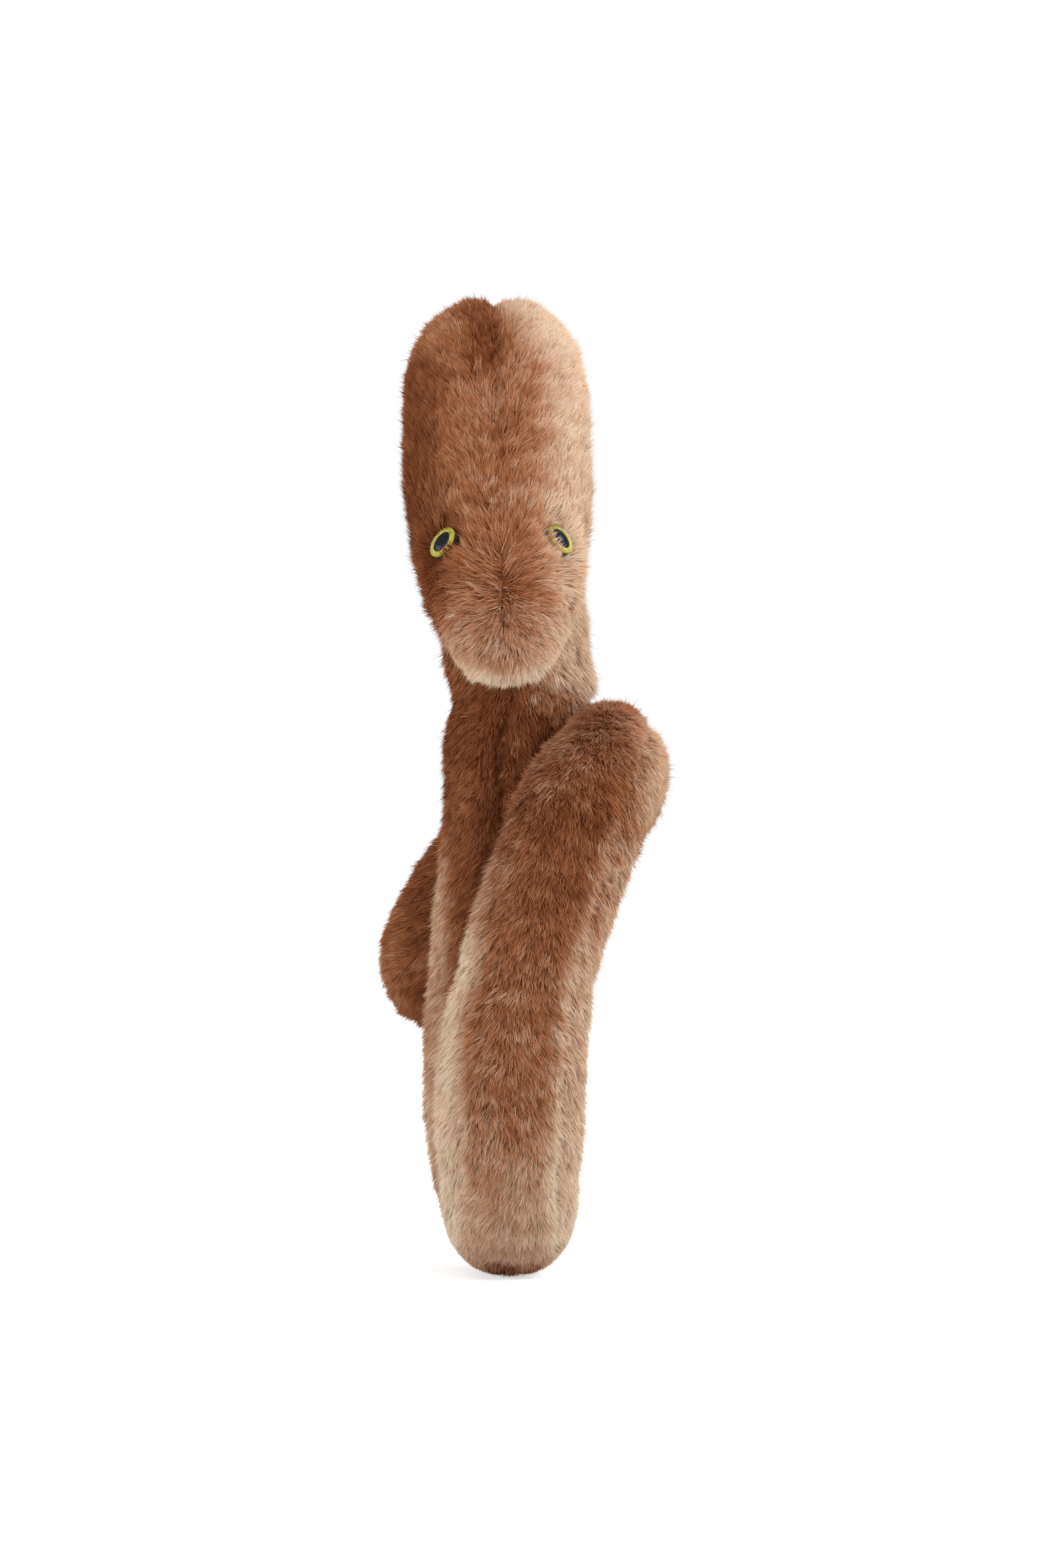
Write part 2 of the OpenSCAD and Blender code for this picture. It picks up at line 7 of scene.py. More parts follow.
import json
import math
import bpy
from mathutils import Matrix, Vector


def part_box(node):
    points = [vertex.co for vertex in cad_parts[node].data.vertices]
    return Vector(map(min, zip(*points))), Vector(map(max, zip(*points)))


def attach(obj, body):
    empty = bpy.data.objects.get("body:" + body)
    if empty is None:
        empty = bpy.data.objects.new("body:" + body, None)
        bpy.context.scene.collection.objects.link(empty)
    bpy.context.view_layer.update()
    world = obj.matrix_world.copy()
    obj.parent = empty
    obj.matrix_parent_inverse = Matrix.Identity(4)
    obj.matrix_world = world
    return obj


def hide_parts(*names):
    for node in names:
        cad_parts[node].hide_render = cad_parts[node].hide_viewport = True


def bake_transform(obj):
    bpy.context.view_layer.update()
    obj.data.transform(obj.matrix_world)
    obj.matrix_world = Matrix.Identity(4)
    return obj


bl_info = {
    "name": "Stuffed Tube Toy",
    "version": (1, 0, 0),
    "blender": (4, 5, 0),
    "location": "View3D > Sidebar > Plush",
    "description": "Dresses a stuffed tube toy in fur fabric, with its eyes, seams and a studio",
    "category": "Object",
}

from types import SimpleNamespace

import bmesh
import bpy
import numpy as np
from bpy.props import FloatProperty, FloatVectorProperty, IntProperty, PointerProperty
from bpy.types import Operator, Panel, PropertyGroup
from mathutils import Vector
from mathutils.bvhtree import BVHTree
from mathutils.kdtree import KDTree

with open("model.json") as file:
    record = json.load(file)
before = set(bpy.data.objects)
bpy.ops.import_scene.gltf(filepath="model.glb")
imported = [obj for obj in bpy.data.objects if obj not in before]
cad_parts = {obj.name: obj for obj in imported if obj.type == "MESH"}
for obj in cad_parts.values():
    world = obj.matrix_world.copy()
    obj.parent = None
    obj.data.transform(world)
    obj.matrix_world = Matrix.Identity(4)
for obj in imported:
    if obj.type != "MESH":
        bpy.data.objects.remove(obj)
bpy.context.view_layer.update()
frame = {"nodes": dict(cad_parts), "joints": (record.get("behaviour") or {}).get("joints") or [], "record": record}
NODES = frame["nodes"]
BODY_OF = {node: body for body, nodes in frame["record"]["behaviour"]["bodies"].items() for node in nodes}
JOINTS = {joint["name"]: joint for joint in frame["joints"]}
MM = 0.001
TINY = 1e-9  # keeps a division by a length away from 0

# Each section of the tube, with the names of its two panels
SECTIONS = {
    "head": ("left", "right"),
    "crook": ("left", "right"),
    "neck": ("left", "right"),
    "stem": ("left", "right"),
    "base": ("outer", "inner"),
    "arm": ("outer", "inner"),
    "shoulder": ("outer", "inner"),
    "tail": ("outer", "inner"),
}
PANELS = [f"{section}_panel_{side}" for section, sides in SECTIONS.items() for side in sides]


def rgb(red, green, blue):
    """A colour as a paint chart gives it, 0 to 255, in the light that the shaders count in."""
    share = np.array([red, green, blue]) / 255
    return tuple(np.where(share <= 0.04045, share / 12.92, ((share + 0.055) / 1.055) ** 2.4))


def size(v):
    return np.linalg.norm(v, axis=-1, keepdims=True)


def unit(v):
    return v / np.maximum(size(v), TINY)


def dot(a, b):
    return (a * b).sum(-1, keepdims=True)


def smooth(x):
    x = np.clip(x, 0, 1)
    return x * x * (3 - 2 * x)


def step(values, start, end):
    """0 before start, 1 after end, and smooth between them. Start may be the larger of the two."""
    return smooth((values - start) / (end - start))


def bell(values, reach, middle=0.0):
    """1 at the middle, and falling off on both sides of it over this reach."""
    return np.exp(-(((values - middle) / reach) ** 2))


def fade(distance, reach):
    """1 at no distance, and falling off over this reach."""
    return np.exp(-distance / reach)


def ripple(points, wavelength, seed, waves=14, spread=0.4):
    """A smooth pattern from -1 to 1 or so at each point: waves of about this length that run all ways."""
    rng = np.random.default_rng(seed)
    ways = unit(rng.normal(size=(waves, 3))) * 2 * math.pi / wavelength
    ways *= rng.uniform(1 - spread, 1 + spread, (waves, 1))
    return np.sin(points @ ways.T + rng.uniform(0, 2 * math.pi, waves)).sum(1) / math.sqrt(waves)


def wander(points, wavelength, seed):
    """A smooth pattern of ways at each point."""
    return np.stack([ripple(points, wavelength, seed + axis) for axis in range(3)], 1)


def number(name, description, default, **more):
    """A property for a plain number, or for one with a unit."""
    return FloatProperty(name=name, description=description, default=default, **more)


def length(name, description, default):
    """A property for a size of the toy or the stage."""
    return number(name, description, default, unit="LENGTH")


def paint(name, description, default):
    """A property for one of the toy's colours."""
    return FloatVectorProperty(name=name, description=description, default=default, subtype="COLOR")


class PlushFabric(PropertyGroup):
    voxel: length("Cell", "Size of the skin's cells", 2.4 * MM)
    pile_depth: length("Pile depth", "Height of the combed pile above the backing", 2.8 * MM)
    backing: length("Backing", "Thickness of the knitted backing", 1.1 * MM)
    underfur: length("Underfur", "Height of the dense felted hair at the pile's roots", 1.2 * MM)
    pressure: number("Filling pressure", "How hard the filling swells the panels", 4.0)
    most_puff: length("Most puff", "How far a panel may swell between its seams", 0.9 * MM)
    seam_depth: length("Seam depth", "How far a seam is drawn in", 1.3 * MM)
    seam_width: length("Seam width", "How wide a seam's valley is", 2.0 * MM)
    side_puff: length("Puff at the sides", "How much more the lower tube and the tail swell", 1.0 * MM)
    wad_cell: length("Filling cell", "Size of the cells of the filling's surface", 3.0 * MM)
    wad_gap: length("Filling gap", "How far the filling is drawn in from its space", 1.6 * MM)
    press: length("Press on the shoulder", "How far the pile on the shoulder's top is pressed down", 0.9 * MM)
    hollow_puff: length("Puff above the crossing", "How far the stem bulges over the shoulder", 3.4 * MM)
    foot_radius: length("Foot radius", "Roundness of the sole across the toy", 12.2 * MM)


class PlushPile(PropertyGroup):
    hair_length: length("Hair length", "Length of the longest hairs", 4.7 * MM)
    hair_width: length("Hair width", "Width of a strand of fibres at its root", 0.21 * MM)
    hairs_per_lock: IntProperty(
        name="Hairs in a lock", description="Strands that lean together", default=16, min=1)
    lean: number("Lean", "How far combed hair leans over", math.radians(47), subtype="ANGLE")
    gather: number("Gather", "How far a lock's tips draw together, 0 to 1", 0.42)
    stray_share: number("Strays", "Share of hairs that stand out of the pile", 0.006)
    flecks: number("Flecks", "Share of hairs of some other tone", 0.0008, precision=4)


class PlushColours(PropertyGroup):
    dark_tip: paint("Dark fur", "Tips of the darkest fur", rgb(145, 80, 43))
    brown_tip: paint("Brown fur", "Tips of the main fur", rgb(208, 141, 95))
    tan_tip: paint("Tan fur", "Tips of the light fur", rgb(244, 214, 184))
    cream_tip: paint("Cream fur", "Tips of the palest fur", rgb(254, 236, 211))
    iris: paint("Iris", "Ring round each pupil", rgb(206, 190, 44))
    pupil: paint("Pupil", "Middle of each eye", rgb(14, 13, 15))
    thread: paint("Thread", "Sewing thread", rgb(110, 72, 48))


class PlushStage(PropertyGroup):
    camera_distance: length("Camera distance", "From the camera to the toy's middle", 1.25)
    camera_height: length("Camera height", "Height of the camera", 100.1 * MM)
    camera_side: length("Camera side", "Sideways place of the camera", 2.6 * MM)
    view_height: length("View height", "Height of the picture at the toy", 321.3 * MM)
    key_power: number("Key", "Power of the main light", 13.0, unit="POWER")
    fill_power: number("Fill", "Power of the light opposite", 4.5, unit="POWER")


def props():
    """The four groups of sizes and colours."""
    scene = bpy.context.scene
    return SimpleNamespace(
        fabric=scene.plush_fabric, pile=scene.plush_pile, colours=scene.plush_colours,
        stage=scene.plush_stage)


def assign(target, **values):
    """Sets these settings of a node, a modifier, a lamp or the camera."""
    for name, value in values.items():
        setattr(target, name, value)


# Materials


def new_material(name):
    """A material with its Principled shader: (material, nodes, links, shader)."""
    material = bpy.data.materials.new(name)
    material.use_nodes = True
    nodes = material.node_tree.nodes
    return material, nodes, material.node_tree.links, nodes["Principled BSDF"]


def add_node(nodes, kind, inputs=None, **settings):
    """A shader node with these settings and input values."""
    node = nodes.new(kind)
    assign(node, **settings)
    set_inputs(node, inputs or {})
    return node


def set_inputs(node, values):
    for name, value in values.items():
        node.inputs[name].default_value = value


def wire(links, *wires):
    """Joins sockets. Each wire is the first node and its output, and the second node and its input."""
    for start, output, end, socket in wires:
        links.new(start.outputs[output], end.inputs[socket])


def ramp(nodes, stops):
    """A colour ramp from (place, colour) stops."""
    node = nodes.new("ShaderNodeValToRGB")
    elements = node.color_ramp.elements
    while len(elements) < len(stops):
        elements.new(0.5)
    for element, (place, colour) in zip(elements, stops):
        element.position = place
        element.color = (*colour, 1)
    return node


def deeper(colour, share):
    """A colour in shade, redder as it darkens, as fibre is nearer its root."""
    red, green, blue = colour
    return (red * share, green * share**1.3, blue * share**1.5)


def fur_material():
    """Fibre colour from the hair's own map: U runs from root to tip, V from dark fur to cream. The
    roots of dark fur lie in deep shade, and pale fur is pale nearly all the way down."""
    colours = props().colours
    places = (0.0, 0.35, 0.7, 1.0)
    tips = (colours.dark_tip, colours.brown_tip, colours.tan_tip, colours.cream_tip)
    # How much of its tip's light each fur keeps at a hair's root, at its middle and at its tip, and
    # between which places along the hair that colour takes over
    bands = (
        ((0.42, 0.44, 0.68, 0.8), None),
        ((0.64, 0.66, 0.8, 0.88), (0.05, 0.5)),
        ((1, 1, 1, 1), (0.5, 0.95)),
    )
    material, nodes, links, shader = new_material("fur")
    chart = add_node(nodes, "ShaderNodeUVMap", uv_map="OFBake")
    split = nodes.new("ShaderNodeSeparateXYZ")
    wire(links, (chart, "UV", split, 0))
    for shares, reach in bands:
        tone = ramp(nodes, [(place, deeper(tip, share)) for place, tip, share in zip(places, tips, shares)])
        wire(links, (split, "Y", tone, "Fac"))
        if reach is None:
            colour = (tone, "Color")
            continue
        rise = add_node(nodes, "ShaderNodeMapRange", {"From Min": reach[0], "From Max": reach[1]},
                        interpolation_type="SMOOTHSTEP")
        mix = add_node(nodes, "ShaderNodeMix", data_type="RGBA")
        wire(links, (split, "X", rise, "Value"), (rise, "Result", mix, "Factor"),
             (*colour, mix, "A"), (tone, "Color", mix, "B"))
        colour = (mix, "Result")
    through = nodes.new("ShaderNodeBsdfTranslucent")
    blend = add_node(nodes, "ShaderNodeMixShader", {"Fac": 0.3})
    set_inputs(shader, {"Roughness": 0.75, "Specular IOR Level": 0.1})
    wire(links, (*colour, shader, "Base Color"), (*colour, through, "Color"), (shader, 0, blend, 1),
         (through, 0, blend, 2), (blend, 0, nodes["Material Output"], "Surface"))
    return material


def clear_material():
    """The dome of an eye: clear, with a shine on its outer face that grows towards its edge."""
    material, nodes, links, shader = new_material("eye_clear")
    nodes.remove(shader)
    see = nodes.new("ShaderNodeBsdfTransparent")
    shine = add_node(nodes, "ShaderNodeBsdfGlossy", {"Roughness": 0.08, "Color": (0.3, 0.36, 0.46, 1)})
    edge = add_node(nodes, "ShaderNodeFresnel", {"IOR": 1.45})
    faces = nodes.new("ShaderNodeNewGeometry")
    front = add_node(nodes, "ShaderNodeMath", {0: 1}, operation="SUBTRACT")
    share = add_node(nodes, "ShaderNodeMath", operation="MULTIPLY")
    blend = nodes.new("ShaderNodeMixShader")
    wire(links, (faces, "Backfacing", front, 1), (edge, 0, share, 0), (front, 0, share, 1),
         (share, 0, blend, "Fac"), (see, 0, blend, 1), (shine, 0, blend, 2),
         (blend, 0, nodes["Material Output"], "Surface"))
    return material


def tints(colour, share=0.75):
    """The darker and the full tint of one colour."""
    return tuple(share * c for c in colour), tuple(colour)


def speckled_material(name, dark_and_light, scale=600, roughness=0.5, bump=0.3, bump_height=0.05 * MM,
                      shine=0.5, distortion=0.0):
    """A moulded, painted or fibrous surface: its colour wanders between two tints, with a fine bump."""
    material, nodes, links, shader = new_material(name)
    place = nodes.new("ShaderNodeTexCoord")
    noise = add_node(nodes, "ShaderNodeTexNoise", {"Scale": scale, "Distortion": distortion})
    tint = ramp(nodes, list(zip((0.3, 0.7), dark_and_light)))
    relief = add_node(nodes, "ShaderNodeBump", {"Strength": bump, "Distance": bump_height})
    set_inputs(shader, {"Roughness": roughness, "Specular IOR Level": shine})
    wire(links, (place, "Object", noise, "Vector"), (noise, "Fac", tint, "Fac"),
         (tint, "Color", shader, "Base Color"), (noise, "Fac", relief, "Height"),
         (relief, 0, shader, "Normal"))
    return material


# Skins

FOOT_EDGE = 2.5 * MM  # how far the base's sides may reach past the roundness of the sole
CUT_ABOVE = 6 * MM  # how high above the base its two lengths are still cut apart


def select_only(obj):
    bpy.ops.object.select_all(action="DESELECT")
    obj.select_set(True)
    bpy.context.view_layer.objects.active = obj


def joined(objects):
    """The first of these objects, with the others joined to it."""
    select_only(objects[0])
    for obj in objects:
        obj.select_set(True)
    bpy.ops.object.join()
    return objects[0]


def apply_modifier(obj, kind, **values):
    """Adds a modifier with these settings and applies it."""
    select_only(obj)
    bpy.ops.object.modifier_add(type=kind)
    assign(obj.modifiers[-1], **values)
    bpy.ops.object.modifier_apply(modifier=obj.modifiers[-1].name)


def smooth_out(obj, repeat):
    """Smooths the whole of an object's mesh, this many times."""
    select_only(obj)
    bpy.ops.object.mode_set(mode="EDIT")
    bpy.ops.mesh.select_all(action="SELECT")
    bpy.ops.mesh.vertices_smooth(factor=0.5, repeat=repeat)
    bpy.ops.object.mode_set(mode="OBJECT")


def mesh_copy(name, mesh):
    """A new object with its own copy of a mesh."""
    copy = bpy.data.objects.new(name, mesh.copy())
    bpy.context.scene.collection.objects.link(copy)
    return copy


def rows_of(items, name):
    """One vector of each item, as rows."""
    rows = np.empty(len(items) * 3)
    items.foreach_get(name, rows)
    return rows.reshape(-1, 3)


def points_of(mesh):
    return rows_of(mesh.vertices, "co")


def normals_of(mesh):
    return rows_of(mesh.vertex_normals, "vector")


def set_points(mesh, points):
    mesh.vertices.foreach_set("co", points.astype(np.float32).ravel())
    mesh.update()


def tree_of(names):
    """A search tree over the surfaces of these construction nodes."""
    points, faces = [], []
    for name in names:
        mesh = NODES[name].data
        faces += [[len(points) + v for v in polygon.vertices] for polygon in mesh.polygons]
        points += [v.co.copy() for v in mesh.vertices]
    return BVHTree.FromPolygons(points, faces)


def closed_copy(name, sections):
    """One closed skin round these sections, remeshed in cells of one size."""
    parts = [f"{section}_{part}" for section in sections
             for part in (*[f"panel_{side}" for side in SECTIONS[section]], "filling")]
    skin = joined([mesh_copy(name, NODES[part].data) for part in parts])
    skin.data.remesh_voxel_size = props().fabric.voxel
    bpy.ops.object.voxel_remesh()
    bpy.ops.object.mode_set(mode="EDIT")
    bpy.ops.mesh.select_all(action="SELECT")
    bpy.ops.mesh.separate(type="LOOSE")
    bpy.ops.object.mode_set(mode="OBJECT")
    parts = sorted(bpy.context.selected_objects, key=lambda part: len(part.data.vertices))
    for part in parts[:-1]:
        bpy.data.objects.remove(part)
    skin = parts[-1]
    skin.name = name
    skin.data.materials.clear()
    return skin


def shrink_to_backing(skin):
    """Smooths the cells out and moves the skin in from the fur's tips to the backing."""
    smooth_out(skin, repeat=6)
    for _ in range(2):
        apply_modifier(skin, "DISPLACE", strength=-props().fabric.pile_depth / 2, mid_level=0)
    smooth_out(skin, repeat=3)


def inflate(skin, seam_weights, frames=20, least_weight=0.05):
    """Swells the panels between the seams, which hold the cloth in place, and caps how far they move."""
    fabric = props().fabric
    before = points_of(skin.data)
    group = skin.vertex_groups.new(name="seams")
    for index in np.flatnonzero(seam_weights > least_weight):
        group.add([int(index)], float(seam_weights[index]), "REPLACE")
    select_only(skin)
    bpy.ops.object.modifier_add(type="CLOTH")
    cloth = skin.modifiers[-1]
    assign(cloth.settings, use_pressure=True, uniform_pressure_force=fabric.pressure,
           vertex_group_mass=group.name, quality=6)
    cloth.settings.effector_weights.gravity = 0
    assign(cloth.point_cache, frame_start=1, frame_end=frames)
    scene = bpy.context.scene
    for frame_number in range(1, frames + 1):
        scene.frame_set(frame_number)
    bpy.ops.object.modifier_apply(modifier=cloth.name)
    scene.frame_set(1)
    moved = points_of(skin.data) - before
    set_points(skin.data, before + moved * np.minimum(1, fabric.most_puff / np.maximum(size(moved), TINY)))


class Seams:
    """Finds the panel that each place of the skin belongs to, and the panel's seam."""

    def __init__(self):
        self.panel_trees = [tree_of([name]) for name in PANELS]
        partners = {"left": "right", "right": "left", "outer": "inner", "inner": "outer"}
        self.partner_trees = {side: tree_of([name for name in PANELS if name.endswith(partner)])
                              for side, partner in partners.items()}

    def beside(self, points, normals, allowed):
        """The panel of each point, out of the allowed ones, how far its seam is, and the way that leads
        away from the seam."""
        found = []
        for place in points + normals * props().fabric.pile_depth / 2:
            place = Vector(place)
            panel = min(allowed, key=lambda i: self.panel_trees[i].find_nearest(place)[3])
            side = PANELS[panel].rsplit("_", 1)[1]
            nearest, _, _, distance = self.partner_trees[side].find_nearest(place)
            found.append((panel, distance, *(place - nearest)))
        found = np.array(found)
        return found[:, 0], found[:, 1], found[:, 2:]


def draw_in_seams(skin, valley, lower):
    """Sinks the seams of one length of the tube: deep in the crown's cleft, not at all under the nose,
    shallow on the arm, and once round the neck. Swells the sides, and the stem where the shoulder
    presses on it. Places are in mm."""
    fabric = props().fabric
    points, normals = points_of(skin.data), normals_of(skin.data)
    x, y, z = points.T / MM
    lower_tube = step(z, 20, 32) * step(z, 62, 50)
    tail = step(y, 36, 42) * step(z, 116, 108)
    depth = -fabric.side_puff * np.maximum(lower_tube, tail)
    if lower:
        left_side = step(-normals[:, 0], 0.1, 0.4)
        shoulder_top = step(normals[:, 2], 0.1, 0.7) * step(z, 104, 112)
        depth += fabric.seam_depth * valley * (0.4 - 0.35 * left_side)
        depth += fabric.press * shoulder_top
    else:
        behind = step(y, -8, -2)
        face = step(-y, 20, 32) * step(z, 112, 118)
        crown = face * step(z, 170, 180)
        nose = face * step(z, 143, 138)
        stem = (z < 116) * behind
        fold = step(z, 100, 105) * step(z, 115, 110) * behind
        share = 1 - 0.8 * face + 1.2 * crown - 0.2 * nose + 0.5 * stem + 1.3 * fold
        neck_seam = JOINTS["head_nod"]["pos_m"][2] / MM
        cross = bell(z, 1.6, middle=neck_seam - 1.5) * behind
        bulge = step(x, 2, 9) * bell(z, 6, middle=117) * behind
        depth += fabric.seam_depth * (valley * share + 0.3 * cross) - fabric.hollow_puff * bulge
    set_points(skin.data, points - normals * depth[:, None])


def round_the_foot(skin):
    """Rounds the sole across the toy, so that only the pile fills the filling's corner."""
    fabric = props().fabric
    points = points_of(skin.data)
    middle = fabric.foot_radius + fabric.pile_depth
    widest = fabric.foot_radius + FOOT_EDGE
    reach = np.clip(np.abs(points[:, 0]) / fabric.foot_radius, 0, 1)
    sole = middle - fabric.foot_radius * np.sqrt(1 - reach**2)
    low = points[:, 2] < middle
    points[low, 2] = np.maximum(points[low, 2], sole[low])
    points[low, 0] = np.clip(points[low, 0], -widest, widest)
    set_points(skin.data, points)


def cut_half(skin, keep_back):
    """Cuts the skin across the base's middle, and keeps the half behind it or before it."""
    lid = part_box("base_filling")[1].z + CUT_ABOVE
    mesh = bmesh.new()
    mesh.from_mesh(skin.data)
    low = [face for face in mesh.faces if face.calc_center_median().z < lid]
    parts = {item for face in low for item in (face, *face.edges, *face.verts)}
    bmesh.ops.bisect_plane(mesh, geom=list(parts), plane_co=(0, 0, 0), plane_no=(0, 1, 0))
    side = 1 if keep_back else -1
    gone = [face for face in mesh.faces
            if face.calc_center_median().z < lid and face.calc_center_median().y * side < 0]
    bmesh.ops.delete(mesh, geom=gone, context="FACES")
    bmesh.ops.triangulate(mesh, faces=[face for face in mesh.faces if len(face.verts) > 4])
    mesh.to_mesh(skin.data)
    mesh.free()


def build_skin():
    """The whole tube's skin, from the nose to the tail's tip. It is made in two lengths, so that they
    stay apart where they press together, and these are joined at the middle of the base."""
    fabric = props().fabric
    seams = Seams()
    lengths = []
    for name, sections, keep_back in (
        ("skin", ("head", "crook", "neck", "stem", "base"), True),
        ("skin_lower", ("base", "arm", "shoulder", "tail"), False),
    ):
        skin = closed_copy(name, sections)
        shrink_to_backing(skin)
        allowed = [i for i, panel in enumerate(PANELS) if panel.split("_")[0] in sections]
        distances = seams.beside(points_of(skin.data), normals_of(skin.data), allowed)[1]
        valley = bell(distances, fabric.seam_width)
        inflate(skin, valley)
        draw_in_seams(skin, valley, lower=not keep_back)
        round_the_foot(skin)
        cut_half(skin, keep_back)
        lengths.append(skin)
    skin = joined(lengths)
    bpy.ops.object.mode_set(mode="EDIT")
    bpy.ops.mesh.select_all(action="DESELECT")
    bpy.ops.mesh.select_non_manifold(
        use_wire=False, use_multi_face=False, use_non_contiguous=False, use_verts=False)
    bpy.ops.mesh.remove_doubles(threshold=0.5 * MM)
    bpy.ops.object.mode_set(mode="OBJECT")
    return skin, seams


# Filling


def filling_piece(section, fibre):
    """A section's wad of fibre: the space inside its panels, drawn in from the backing and lumpy."""
    piece = mesh_copy(f"{section}_wad", NODES[f"{section}_filling"].data)
    select_only(piece)
    piece.data.remesh_voxel_size = props().fabric.wad_cell
    bpy.ops.object.voxel_remesh()
    smooth_out(piece, repeat=3)
    points, normals = points_of(piece.data), normals_of(piece.data)
    lumps = ripple(points, 14 * MM, seed=61) + 0.5 * ripple(points, 6 * MM, seed=62)
    depth = props().fabric.wad_gap * (1 + 0.3 * np.clip(lumps, -2, 2))
    set_points(piece.data, points - normals * depth[:, None])
    piece.data.shade_smooth()
    piece.data.materials.clear()
    piece.data.materials.append(fibre)
    return piece


class PLUSH_OT_filling(Operator):
    """Makes the fibre filling of every section"""

    bl_idname = "plush.filling"
    bl_label = "Filling"

    def execute(self, context):
        fibre = speckled_material(
            "filling", (rgb(205, 200, 190), rgb(244, 242, 236)), scale=260, roughness=0.9, bump=0.6,
            bump_height=0.4 * MM, distortion=2.5)
        for section in SECTIONS:
            piece = filling_piece(section, fibre)
            ride_section(piece, section)
            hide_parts(f"{section}_filling")
        return {"FINISHED"}


# Fur

LOCKS_ACROSS = 2  # locks along each side of one of the skin's cells
LOCK_REACH = 0.75  # how far hairs stand from their lock's middle, as a share of the way to the next
# How much one lock differs from the next, and one hair from the others of its lock
LOCK_VARIES = SimpleNamespace(turn=0.22, lean=0.1, length=0.07, tone=0.07)
HAIR_VARIES = SimpleNamespace(turn=0.16, lean=0.1, tone=0.08)
# How strongly the pile swirls, and how tousled it is where it isn't calm
SWIRL, TOUSLE, TOUSLE_LOST = 0.16, 0.16, 0.11
# Shares of the hair's full length, of a stray's length and of its lean
LENGTHS, STRAY_LENGTH, STRAY_LEANS = (0.72, 1.05), 1.12, (0.3, 0.9)
ROOT_DEPTH = 0.3 * MM  # how deep in the underfur a hair starts
HALF_LEANS = (0.55, 1.25)  # how far its lower and its upper half lean, as shares of its lean
MIDDLE_WIDTH, MIDDLE_GATHER = 0.85, 0.35  # a hair's width and gathering halfway up, as shares
MOST_ROLL = 0.9  # how far a hair is turned about itself, in radians
SKIN_SHADE = 0.75  # how much of a hair's shading follows the skin below it
TONES = (0.02, 0.98)  # the ends of the colour chart that hairs use
CHART_WIDTH = 0.01  # how much of the chart a hair's width takes up
# Lengths of the hair at the inner and the outer side of the eyes, as shares of its length elsewhere
INNER_EYE_HAIR, OUTER_EYE_HAIR = {"left": 0.45, "right": 0.65}, 1.15
EYE_HAIR_WIDTH, EYE_MARGIN = 2.6 * MM, 0.15 * MM  # the band of that hair, and the bare edge round an eye
EYE_HAIR_REACH = 12 * MM  # how far from an eye's middle the band is looked for
SOLE_GAP = 0.05 * MM  # how far the pile ends above the floor
SOLE_ROUNDNESS = 0.93  # radius of the pile's sole, as a share of the foot's


def eye_places():
    """Each eye's middle, the way it looks, its radius, how high its ring and its dome's middle stand
    over its middle, and the way that leads out from the face."""
    found = []
    for side, outward in (("left", -1.0), ("right", 1.0)):
        points, dome = (points_of(NODES[f"eye_{part}_{side}"].data) for part in ("iris", "dome"))
        centre = points.mean(0)
        out = unit(dome.mean(0) - centre)
        outer = np.array([outward, 0, 0])
        found.append(SimpleNamespace(
            centre=centre, out=out, radius=size(points - centre).max(),
            rim=dot(points - centre, out).max(), top=dot(dome - centre, out).max(),
            outer=unit(outer - out * dot(outer, out)), inner_hair=INNER_EYE_HAIR[side]))
    return found


def round_eye(root, eye):
    """How places lie round an eye: their gap from its middle, the part of the gap that runs across the
    eye, and whether they lie on its outer side."""
    gap = root - eye.centre
    across = gap - eye.out * dot(gap, eye.out)
    return gap, across, dot(across, eye.outer) > 0


def lock_places(skin, seams):
    """Where each lock of hair grows: its root, with x, y and z in mm, the skin's normal, with how far
    it faces left, front and down, its panel, and the seam beside it."""
    points, normals = points_of(skin.data), normals_of(skin.data)
    corners = np.array([(*face.vertices, face.vertices[-1])[:4] for face in skin.data.polygons])
    middles, facings = points[corners].mean(1), unit(normals[corners].mean(1))
    panels, distances, ways = seams.beside(middles, facings, range(len(PANELS)))
    rng = np.random.default_rng(7)
    found = []
    for place in np.ndindex(LOCKS_ACROSS, LOCKS_ACROSS):
        u, v = ((at + rng.uniform(0.1, 0.9, (len(corners), 1))) / LOCKS_ACROSS for at in place)
        shares = [(1 - u) * (1 - v), u * (1 - v), u * v, (1 - u) * v]
        root = sum(points[corners[:, k]] * share for k, share in enumerate(shares))
        normal = unit(sum(normals[corners[:, k]] * share for k, share in enumerate(shares)))
        found.append(np.hstack([root, normal, ways, distances[:, None], panels[:, None]]))
    root, normal, away, seam, panel = np.split(np.vstack(found), (3, 6, 9, 10), axis=1)
    section, _, side = np.array([PANELS[int(index)].split("_") for index in panel[:, 0]]).T
    x, y, z = root.T / MM
    left, front, down = -normal.T
    return SimpleNamespace(
        root=root, normal=normal, x=x, y=y, z=z, left=left, front=front, down=down, away=unit(away),
        seam=seam[:, 0], panel=panel[:, 0], section=section, side=side,
        on_head=np.isin(section, ("head", "crook")), face_panels=panels, eyes=eye_places())


